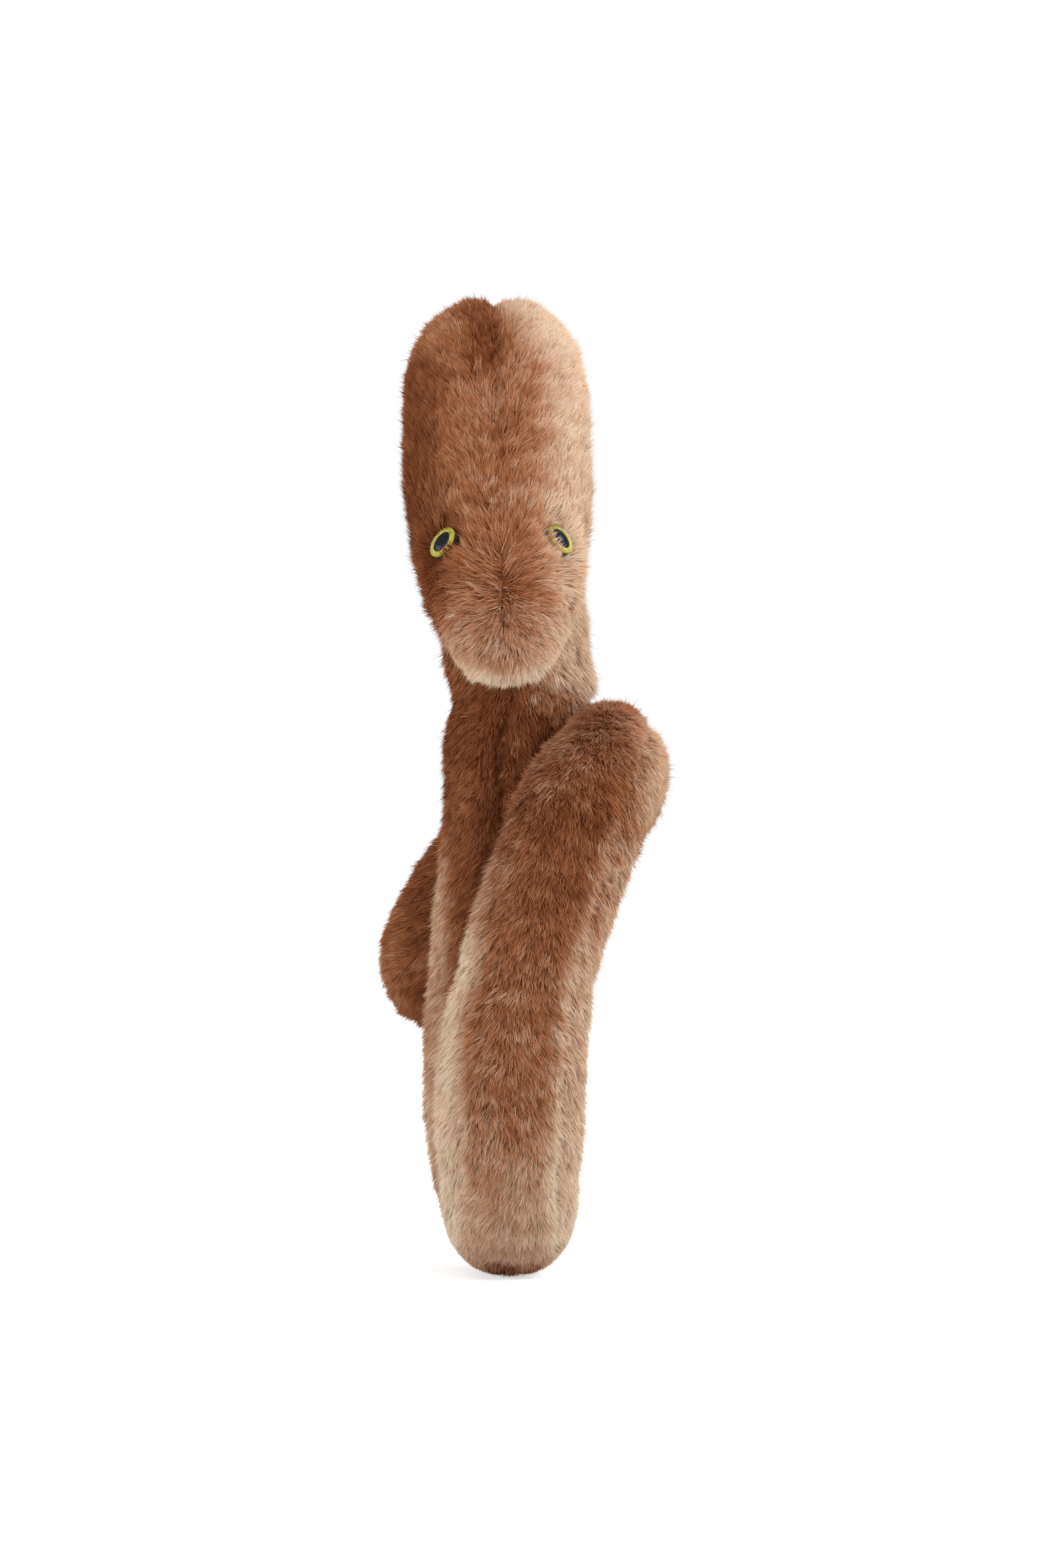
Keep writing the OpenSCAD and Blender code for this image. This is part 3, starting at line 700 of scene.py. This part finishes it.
def pull_of(locks, muzzle):
    """The way that each lock is brushed, before the seams and chance turn it: on the head up over the
    crown and down the back, on the muzzle down, from the shoulder forwards and down the arm, and on the
    tail to its tip."""
    y, z, section = locks.y, locks.z, locks.section
    down = np.array([0.0, -0.1, -1.0])
    low, high = (np.array(corner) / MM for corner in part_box("crook_filling"))
    over_crown = unit(np.stack([0 * y, z - low[2] + 8, (low[1] + high[1]) / 2 - y], 1))
    head_way = (1 - muzzle) * over_crown + muzzle * down
    pull = np.where(locks.on_head[:, None], head_way, down)
    facing = step(locks.front, -0.1, 0.45)[:, None]
    forwards = (1 - facing) * np.array([0.1, -1, 0]) + facing * np.array([0.1, -0.3, -1])
    tail_way = unit(sum(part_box("tail_filling"), Vector()) / 2 - Vector(JOINTS["tail_lift"]["pos_m"]))
    behind = step(y, 30, 44)[:, None]
    pull = np.where((section == "shoulder")[:, None], (1 - behind) * forwards + behind * tail_way, pull)
    pull = np.where((section == "tail")[:, None], tail_way, pull)
    pull[:, 1] -= 0.9 * (section == "arm") * step(z, 78, 96) * step(locks.normal[:, 2], 0, 0.5)
    return pull


def spread_of(locks, parting):
    """How far each lock turns away from the seam beside it, or towards it below 0."""
    seam = locks.seam / MM
    in_cleft = locks.on_head * step(locks.z, 178, 184) * (locks.y < 0)
    paired = 0.75 * smooth(seam / 6) * fade(seam, 18)
    paired += 0.5 * in_cleft * fade(seam, 3) + 0.35 * (locks.section == "stem") * fade(seam, 2)
    paired += 1.1 * parting * smooth(seam / 2.2) * fade(seam, 14)
    outer, inner = -0.9 * fade(seam, 3.5), 0.4 * fade(seam, 6)
    return np.select([locks.side == "outer", locks.side == "inner"], [outer, inner], paired)


def comb(locks):
    """The way each lock lies along the skin, and how far it leans. The pile is calm where it parts, on
    the arm's crest and on the muzzle, and stands up at the inner side of the eyes."""
    normal = locks.normal
    muzzle = (locks.on_head * step(locks.z, 149, 126) * step(-locks.y, 20, 40))[:, None]
    parting = 1 - np.abs(2 * muzzle[:, 0] - 1)
    crest = np.isin(locks.section, ("arm", "shoulder")) * step(-locks.down, 0, 0.4)
    crest *= step(locks.front, 0, 0.4)
    calm = np.maximum(np.maximum(parting, crest), 0.6 * muzzle[:, 0])[:, None]
    way = pull_of(locks, muzzle) + spread_of(locks, parting)[:, None] * locks.away
    way += SWIRL * wander(locks.root, 16 * MM, seed=20)
    way += (TOUSLE - TOUSLE_LOST * calm) * wander(locks.root, 5 * MM, seed=30)
    hedge = np.zeros((len(way), 1))
    for eye in locks.eyes:
        gap, across, outer = round_eye(locks.root, eye)
        hedge += bell(size(gap), 5.5 * MM) * ~outer
        turn = np.where(outer, 1.2, -0.8) * bell(size(across), 6 * MM)
        way += turn * unit(across)
    way -= normal * dot(way, normal)
    laid = 1 + 0.3 * np.maximum(crest, 0.4 * parting)[:, None]
    lean = props().pile.lean * (0.5 + 0.5 * smooth(size(way) / 0.6)) * laid * (1 - 0.6 * hedge)
    return unit(way), lean


def head_tone(at):
    """Painted light from the right: dark at the left, tan along the middle and pale at the right. Pale on the
    muzzle, with a painted rim light along the left edge and painted shade in the crown's crease.
    """
    # painted light from the right: the tone rises from the left side to the right side
    slanted = at.x + 7 * step(at.z, 178, 195)
    tone = 0.32 * step(slanted, -18, -8) + 0.45 * step(slanted, 0, 12)
    muzzle = step(at.z, 140, 126)
    dark_cheek = bell(at.x, 5, middle=-13) * bell(at.z, 8, middle=139)
    # painted shade in the crease of the crown
    crown_crease_shade = bell(at.x, 2.5, middle=-5) * step(at.z, 174, 182) * step(-at.y, 4, 12)
    chin = step(at.down, 0.3, 0.8) * step(at.z, 140, 130)
    # painted rim light where the pile turns away along the left edge
    left_rim_light = step(at.left, 0.85, 1.0) * step(at.z, 152, 142)
    return tone + 0.16 * muzzle - 0.21 * dark_cheek - 0.3 * crown_crease_shade + 0.48 * chin + 0.3 * left_rim_light


def stem_tone(at):
    """Dark, a painted shadow of the head and the arm, with a lighter foot, a tan band along its left, pale hair
    under the neck's right where light from the right is painted on, and painted shade in the hollow beside the
    shoulder.
    """
    foot = step(at.z, 60, 22)
    left_band = step(-at.x, 8, 13) * step(at.z, 98, 80) * step(at.y, 36, 28) * (1 - 0.2 * step(at.z, 58, 42))
    # painted light from the right on the pale hair under the neck
    ragged = at.z + 1.5 * ripple(at.root, 4 * MM, seed=5)
    lit_under_neck = step(at.x, 0, 8) * step(ragged, 115, 119)
    # painted shade in the hollow beside the shoulder
    hollow_shade = step(at.x, 5, 12) * step(at.z, 104, 108) * step(at.z, 118, 115)
    # the dark base tone of 0.12 is painted shadow of the head and the arm
    return 0.12 + 0.2 * foot + 0.5 * left_band + 0.5 * lit_under_neck - 0.12 * hollow_shade


def arm_tone(at):
    """Brown in front and lighter to the foot, with painted shade below the shoulder, a painted sheen as a cream
    band on its left side, painted light from the right on its right side, a mixed rear and a painted contact
    shadow on the sole."""
    # painted shade below the shoulder
    shade_below_shoulder = bell(at.z, 7, middle=94)
    front = 0.22 - 0.11 * shade_below_shoulder + 0.12 * step(at.z, 84, 50) + 0.28 * step(at.z, 46, 10)
    outline = 1 - 0.35 * step(at.left, 0.88, 0.99) * step(at.z, 60, 45)
    # painted sheen on the left side, where the pile turns away
    left_sheen_band = step(at.left, 0.6, 0.92) * outline * step(at.z, 88, 62) * (1 - 0.35 * step(at.z, 26, 10))
    # painted light on the side that faces the light from the right
    lit_right_side = step(-at.left, 0.4, 0.88)
    upper_left = step(at.left, 0.1, 0.7) * step(at.z, 74, 86)
    front += 0.75 * left_sheen_band + 0.42 * lit_right_side + 0.17 * upper_left
    rear = 0.34 + 0.22 * step(-at.x, 8, 12) + 0.1 * step(at.x, 8, 12)
    # painted contact shadow on the sole
    sole = step(at.down, 0.6, 0.95) * step(at.z, 8, 3)
    return front + (rear - front) * step(at.y, -14, 12) - 0.4 * sole


def shoulder_tone(at):
    """Brown, darker in front and behind, and pale on the right side, where light from the right is painted on."""
    front = step(at.front, 0.2, 0.7) * step(at.z, 112, 100)
    # painted light on the right side
    lit_right_side = step(-at.left, 0.3, 0.8) * step(at.x, 20, 29) * step(at.y, 52, 30)
    return 0.38 - 0.1 * front - 0.22 * step(at.y, 30, 55) + 0.38 * lit_right_side


def tone_of(locks):
    """How light each lock is, from 0, dark fur, to 1, cream: by its place and by the way it faces, with a fine
    mottle. Much of it is painted light and shade: pale on the sides turned to the light from the right, with
    painted sheen, rim light, shadows and shade in the hollows."""
    section, x = locks.section, locks.x
    # The neck is pale on its right, painted light from the right. The tail is dark, painted shade beside the stem,
    # and lighter at its far left.
    tone = np.select(
        [locks.on_head, section == "neck", section == "stem", np.isin(section, ("arm", "base")),
         section == "shoulder", section == "tail"],
        [head_tone(locks), 0.22 + 0.56 * step(x, 2, 10), stem_tone(locks), arm_tone(locks),
         shoulder_tone(locks), 0.15 + 0.16 * step(-x, 18, 26)])
    return tone + 0.035 * ripple(locks.root, 18 * MM, seed=3) + 0.05 * ripple(locks.root, 5 * MM, seed=4)


def trim_of(locks):
    """The length of each lock as a share of the longest: short along the seams and on the inner side
    of the eyes, long on their outer side, and none under them. Places are in mm."""
    y, z = locks.y, locks.z
    nose = (locks.section == "head") * step(z, 149, 145) * step(-y, 20, 40)
    fold = (locks.section == "stem") * step(z, 100, 105) * step(z, 115, 110) * (y < 20)
    clipped = bell(locks.seam, 1.5 * MM) * (locks.side != "inner") * (1 - nose)
    trim = 1 - (0.3 + 0.3 * fold) * clipped
    over_neck_seam = z - JOINTS["head_nod"]["pos_m"][2] / MM
    trim *= np.where((locks.section == "stem") & (over_neck_seam > -4) & (y > -8), 0.85, 1)
    trim *= np.where((locks.section == "neck") & (over_neck_seam < 5), 1.25, 1)
    for eye in locks.eyes:
        gap, across, outer = round_eye(locks.root, eye)
        near = size(gap)[:, 0] < EYE_HAIR_REACH
        far = size(across)[:, 0] - eye.radius
        beside = np.where(outer[:, 0], OUTER_EYE_HAIR, eye.inner_hair)
        trim = np.where(near & (far < EYE_HAIR_WIDTH), trim * beside, trim)
        trim = np.where(near & (far < EYE_MARGIN), 0, trim)
    return trim


def sole_height(x):
    """The lowest that the pile reaches at each place across the toy: its sole is rounded."""
    fabric = props().fabric
    radius = SOLE_ROUNDNESS * (fabric.foot_radius + fabric.pile_depth)
    return SOLE_GAP + radius - np.sqrt(radius**2 - np.minimum(np.abs(x), radius * 0.99) ** 2)


def over_the_eyes(points, eyes):
    """Lifts the hair that would run through an eye onto its dome, and finds the hair that grows
    beside the eyes and not under them."""
    beside = np.ones(len(points), bool)
    for eye in eyes:
        gap = points - eye.centre
        height = dot(gap, eye.out)
        far = size(gap - height * eye.out)
        dome = eye.rim + (eye.top - eye.rim) * np.maximum(0, 1 - (far / eye.radius) ** 2)
        inside = (far < eye.radius + 0.1 * MM) & (np.abs(height) < 2 * eye.radius)
        beside &= ~inside[:, 0, 0]
        points = points + np.where(inside, np.maximum(dome + 0.12 * MM - height, 0), 0) * eye.out
    return points, beside


def hairs(locks, panel):
    """The strands of one panel: each one's five points, the normal it is shaded with and its tone."""
    pile = props().pile
    mine = (locks.panel == panel) & (locks.trim > 0)
    rng = np.random.default_rng(100 + panel)
    count = int(mine.sum()) * pile.hairs_per_lock

    def spread(values):
        return np.repeat(values[mine], pile.hairs_per_lock, axis=0)

    def chance():
        return rng.normal(size=(count, 1))

    root, normal, way, lean = (spread(values) for values in (locks.root, locks.normal, locks.way, locks.lean))
    lock_turn, lock_lean, lock_length = np.split(
        np.repeat(rng.normal(size=(int(mine.sum()), 3)), pile.hairs_per_lock, axis=0), 3, axis=1)
    across = np.cross(way, normal)
    offset = rng.uniform(-LOCK_REACH, LOCK_REACH, (count, 2)) * props().fabric.voxel / LOCKS_ACROSS
    heading = unit(way + across * (LOCK_VARIES.turn * lock_turn + HAIR_VARIES.turn * chance()))
    stray = rng.random((count, 1)) < pile.stray_share
    lean = lean * (1 + LOCK_VARIES.lean * lock_lean + HAIR_VARIES.lean * chance())
    lean = np.where(stray, lean * rng.uniform(*STRAY_LEANS, (count, 1)), lean)
    length = pile.hair_length * spread(locks.trim)[:, None]
    length *= rng.uniform(*LENGTHS, (count, 1)) * (1 + LOCK_VARIES.length * lock_length)
    length = np.where(stray, length * STRAY_LENGTH, length)
    shift = way * offset[:, :1] + across * offset[:, 1:]
    foot = root + shift - normal * ROOT_DEPTH
    lower, upper = (normal * np.cos(share * lean) + heading * np.sin(share * lean) for share in HALF_LEANS)
    middle = foot + lower * length / 2
    tip = middle + upper * length / 2
    middle -= shift * pile.gather * MIDDLE_GATHER
    tip -= shift * pile.gather
    along = unit(tip - foot)
    side = unit(np.cross(along, normal))
    roll = rng.uniform(-MOST_ROLL, MOST_ROLL, (count, 1))
    side = side * np.cos(roll) + np.cross(along, side) * np.sin(roll)
    side = np.where(dot(np.cross(side, along), normal) < 0, -side, side)
    half = side * pile.hair_width / 2
    narrower = half * MIDDLE_WIDTH
    points = np.stack([foot - half, foot + half, middle - narrower, middle + narrower, tip], 1)
    points, beside = over_the_eyes(points, locks.eyes)
    points[:, :, 2] = np.maximum(points[:, :, 2], sole_height(points[:, :, 0]))
    shade = unit(SKIN_SHADE * normal + (1 - SKIN_SHADE) * unit(np.cross(side, along)))
    tone = spread(locks.tone) + LOCK_VARIES.tone * lock_turn[:, 0] + HAIR_VARIES.tone * rng.normal(size=count)
    tone = np.clip(np.where(rng.random(count) < pile.flecks, rng.random(count), tone), *TONES)
    return points[beside], shade[beside], tone[beside]


def chart_of(tone):
    """Each hair's place on the colour chart, for its quad's four corners and its tip's three."""
    root, middle, tip = 0.02, 0.5, 0.98
    u = np.array([root, root, middle, middle, middle, middle, tip])
    v = np.array([-1, 1, 1, -1, -1, 1, 0]) * CHART_WIDTH / 2
    return np.stack([np.broadcast_to(u, (len(tone), len(u))), tone[:, None] + v], 2)


def underfur_chart(mesh, locks, mine):
    """The place on the colour chart of each corner of the underfur: the tone of the lock that grows there, a
    quarter up its hair, and nearer the root in the clefts of the seams, whose darker root colour is painted shade
    there."""
    roots, tones, seams = locks.root[mine], np.clip(locks.tone[mine], *TONES), locks.seam[mine]
    tree = KDTree(len(roots))
    for i, root in enumerate(roots):
        tree.insert(root, i)
    tree.balance()
    patch = np.array([[-4, -1], [4, -1], [4, 1], [-4, 1]]) * CHART_WIDTH / 2
    places = []
    for face in mesh.polygons:
        nearest = tree.find(face.center)[1]
        # near a seam the underfur takes the darker root colour: painted shade in the cleft
        height = 0.03 + 0.24 * smooth(seams[nearest] / (2 * MM))
        places.append(patch[np.arange(len(face.vertices)) % 4] + [height, tones[nearest]])
    return np.concatenate(places)


def panel_backing(skin, name, kept):
    """The backing and the underfur of one panel: the skin's own faces there, with a thickness."""
    fabric = props().fabric
    backing = mesh_copy(name, skin.data)
    mesh = bmesh.new()
    mesh.from_mesh(backing.data)
    bmesh.ops.delete(mesh, geom=[face for face, keep in zip(mesh.faces, kept) if not keep], context="FACES")
    mesh.to_mesh(backing.data)
    mesh.free()
    thickness = fabric.backing + fabric.underfur
    apply_modifier(backing, "SOLIDIFY", thickness=thickness, offset=2 * fabric.underfur / thickness - 1)
    return backing


def with_pile(backing, hair_points, shade, chart):
    """A mesh of the backing with its hairs standing on it: a quad and a tip on five points each."""
    cloth_points, cloth_normals = points_of(backing.data), normals_of(backing.data)
    cloth_faces = [list(face.vertices) for face in backing.data.polygons]
    first = len(cloth_points) + 5 * np.arange(len(hair_points))[:, None]
    hair_corners = np.hstack([first + [0, 1, 3, 2], first + [2, 3, 4]])
    corners = np.concatenate([np.concatenate(cloth_faces), hair_corners.ravel()]).astype(np.int32)
    sizes = np.concatenate([[len(face) for face in cloth_faces], np.tile([4, 3], len(hair_points))])
    starts = np.concatenate([[0], np.cumsum(sizes)[:-1]])
    points = np.concatenate([cloth_points, hair_points.reshape(-1, 3)])
    made = bpy.data.meshes.new(backing.name)
    made.vertices.add(len(points))
    set_points(made, points)
    made.loops.add(len(corners))
    made.loops.foreach_set("vertex_index", corners)
    made.polygons.add(len(sizes))
    made.polygons.foreach_set("loop_start", starts.astype(np.int32))
    made.polygons.foreach_set("loop_total", sizes.astype(np.int32))
    made.update(calc_edges=True)
    made.uv_layers.new(name="OFBake").data.foreach_set("uv", chart.astype(np.float32).ravel())
    made.shade_smooth()
    made.normals_split_custom_set_from_vertices(np.concatenate([cloth_normals, np.repeat(shade, 5, axis=0)]))
    return made


def fur_panel(skin, locks, index, fur):
    """One panel of fur fabric: its backing and underfur as a padded sheet, and its pile."""
    section, _, side = PANELS[index].split("_")
    backing = panel_backing(skin, f"{section}_fur_{side}", locks.face_panels == index)
    points, shade, tone = hairs(locks, index)
    underfur = underfur_chart(backing.data, locks, locks.panel == index)
    chart = np.concatenate([underfur, chart_of(tone).reshape(-1, 2)])
    bare = backing.data
    backing.data = with_pile(backing, points, shade, chart)
    backing.data.materials.append(fur)
    bpy.data.meshes.remove(bare)
    return backing


def ride_section(piece, section):
    """Lets a piece move with its section's body. The pieces of the neck, the stem, the shoulder and the tail are
    only fixed where they stand.
    """
    if section in ("neck", "stem"):
        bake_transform(piece)
    elif section in ("shoulder", "tail"):
        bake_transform(piece)
    else:
        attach(piece, BODY_OF[f"{section}_filling"])


class PLUSH_OT_fur(Operator):
    """Makes the fur panels of every section, with their seams and their combed pile"""

    bl_idname = "plush.fur"
    bl_label = "Fur panels"

    def execute(self, context):
        skin, seams = build_skin()
        locks = lock_places(skin, seams)
        locks.way, locks.lean = comb(locks)
        locks.tone = tone_of(locks)
        locks.trim = trim_of(locks)
        fur = fur_material()
        for index, name in enumerate(PANELS):
            piece = fur_panel(skin, locks, index, fur)
            section = name.split("_")[0]
            ride_section(piece, section)
            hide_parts(name)
        bpy.data.objects.remove(skin)
        return {"FINISHED"}


class PLUSH_OT_eyes(Operator):
    """Finishes the two safety eyes: clear dome, iris, pupil, shank and washer"""

    bl_idname = "plush.eyes"
    bl_label = "Eyes"

    def execute(self, context):
        colours = props().colours
        finishes = {
            "dome": clear_material(),
            "iris": speckled_material("iris", tints(colours.iris), scale=900),
            "pupil": speckled_material("pupil", tints(colours.pupil), scale=900, roughness=0.6, shine=0.1),
            "shank": speckled_material("eye_back", tints(rgb(40, 40, 42))),
            "washer": speckled_material("washer", tints(rgb(52, 52, 54))),
        }
        for part, material in finishes.items():
            for side in ("left", "right"):
                NODES[f"eye_{part}_{side}"].material_slots[0].material = material
        return {"FINISHED"}


class PLUSH_OT_thread(Operator):
    """Finishes the sewing thread of the tacks and of the closing seam"""

    bl_idname = "plush.thread"
    bl_label = "Thread"

    def execute(self, context):
        fabric = props().fabric
        material = speckled_material(
            "thread", tints(props().colours.thread), scale=1500, roughness=0.8, bump=0.8)
        NODES["crossing_tacks"].material_slots[0].material = material
        piece = mesh_copy("closing_seam", NODES["closing_stitches"].data)
        points = points_of(piece.data)
        points[:, 1] -= fabric.pile_depth + fabric.seam_depth  # to the backing, under the pile
        set_points(piece.data, points)
        piece.material_slots[0].material = material
        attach(piece, BODY_OF["closing_stitches"])
        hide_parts("closing_stitches")
        return {"FINISHED"}


SENSOR_WIDTH = 36  # of the camera, in mm


class PLUSH_OT_stage(Operator):
    """Sets up the pale floor, the soft lights and the camera at the photograph's angle"""

    bl_idname = "plush.stage"
    bl_label = "Stage"

    def execute(self, context):
        stage = props().stage
        scene = context.scene
        scene.view_settings.view_transform = "Standard"
        bpy.ops.object.select_all(action="DESELECT")
        bpy.ops.mesh.primitive_plane_add(size=12, location=(0, 0, 0))
        floor = context.active_object
        floor.name = "floor"
        floor.data.materials.append(floor_material())
        scene.world = studio_world()
        soft_light("key", place=(1.05, -0.75, 0.95), power=stage.key_power, size=0.7)
        soft_light("fill", place=(-0.55, -1.2, 0.25), power=stage.fill_power, size=0.9)
        soft_light("side", place=(-1.1, -0.35, 0.1), power=stage.fill_power, size=0.6)
        soft_light("rim", place=(0.5, 0.9, 0.8), power=stage.fill_power * 0.8, size=0.6)
        place = (stage.camera_side, -stage.camera_distance, stage.camera_height)
        bpy.ops.object.camera_add(location=place, rotation=(math.pi / 2, 0, 0))
        scene.camera = context.active_object
        lens = SENSOR_WIDTH * stage.camera_distance / stage.view_height
        assign(scene.camera.data, sensor_width=SENSOR_WIDTH, lens=lens, clip_start=0.05, clip_end=30)
        return {"FINISHED"}


def soft_light(name, place, power, size):
    """An area lamp that looks at the toy's middle."""
    bpy.ops.object.light_add(type="AREA", location=place)
    lamp = bpy.context.active_object
    lamp.name = name
    assign(lamp.data, energy=power, size=size)
    aim = Vector((0, 0, 0.1)) - lamp.location
    lamp.rotation_euler = aim.to_track_quat("-Z", "Y").to_euler()


def seen_directly(nodes, links):
    """A node that gives 1 where the camera or a reflection looks at the surface itself."""
    path = nodes.new("ShaderNodeLightPath")
    seen = add_node(nodes, "ShaderNodeMath", operation="MAXIMUM")
    wire(links, (path, "Is Camera Ray", seen, 0), (path, "Is Glossy Ray", seen, 1))
    return path, seen


def floor_material():
    """Pale floor. It looks white to the camera and in reflections, and keeps the toy's shadow."""
    material, nodes, links, shader = new_material("floor")
    nodes.remove(shader)
    diffuse = add_node(nodes, "ShaderNodeBsdfDiffuse", {"Color": (0.85, 0.85, 0.85, 1)})
    glow = nodes.new("ShaderNodeEmission")
    _, seen = seen_directly(nodes, links)
    level = add_node(nodes, "ShaderNodeMath", {1: 0.62}, operation="MULTIPLY")
    both = nodes.new("ShaderNodeAddShader")
    wire(links, (seen, 0, level, 0), (level, 0, glow, "Strength"), (diffuse, 0, both, 0),
         (glow, 0, both, 1), (both, 0, nodes["Material Output"], "Surface"))
    return material


def studio_world():
    """Soft light from all round, white where the camera or a reflection sees it."""
    world = bpy.data.worlds.new("studio")
    world.use_nodes = True
    nodes, links = world.node_tree.nodes, world.node_tree.links
    back = nodes["Background"]
    set_inputs(back, {"Color": (1, 1, 1, 1), "Strength": 0.6})
    white = add_node(nodes, "ShaderNodeBackground", {"Color": (1, 1, 1, 1)})
    path, seen = seen_directly(nodes, links)
    also = add_node(nodes, "ShaderNodeMath", operation="MAXIMUM")
    blend = nodes.new("ShaderNodeMixShader")
    wire(links, (seen, 0, also, 0), (path, "Is Transmission Ray", also, 1), (also, 0, blend, "Fac"),
         (back, 0, blend, 1), (white, 0, blend, 2), (blend, 0, nodes["World Output"], "Surface"))
    return world


OPERATORS = (PLUSH_OT_stage, PLUSH_OT_fur, PLUSH_OT_filling, PLUSH_OT_eyes, PLUSH_OT_thread)


class PLUSH_PT_sidebar(Panel):
    """Lists the toy's sizes, colours and pieces"""

    bl_idname = "PLUSH_PT_sidebar"
    bl_label = "Stuffed toy"
    bl_space_type = "VIEW_3D"
    bl_region_type = "UI"
    bl_category = "Plush"

    def draw(self, context):
        for group in vars(props()).values():
            box = self.layout.box()
            for name in group.__annotations__:
                box.prop(group, name)
        for operator in OPERATORS:
            self.layout.operator(operator.bl_idname)


GROUPS = {
    "plush_fabric": PlushFabric,
    "plush_pile": PlushPile,
    "plush_colours": PlushColours,
    "plush_stage": PlushStage,
}


def register():
    for cls in (*GROUPS.values(), *OPERATORS, PLUSH_PT_sidebar):
        bpy.utils.register_class(cls)
    for name, cls in GROUPS.items():
        setattr(bpy.types.Scene, name, PointerProperty(type=cls))


def unregister():
    for name in GROUPS:
        delattr(bpy.types.Scene, name)
    for cls in reversed((*GROUPS.values(), *OPERATORS, PLUSH_PT_sidebar)):
        bpy.utils.unregister_class(cls)


def main():
    register()
    bpy.ops.plush.stage()
    bpy.ops.plush.fur()
    bpy.ops.plush.filling()
    bpy.ops.plush.eyes()
    bpy.ops.plush.thread()


if __name__ == "__main__":
    main()
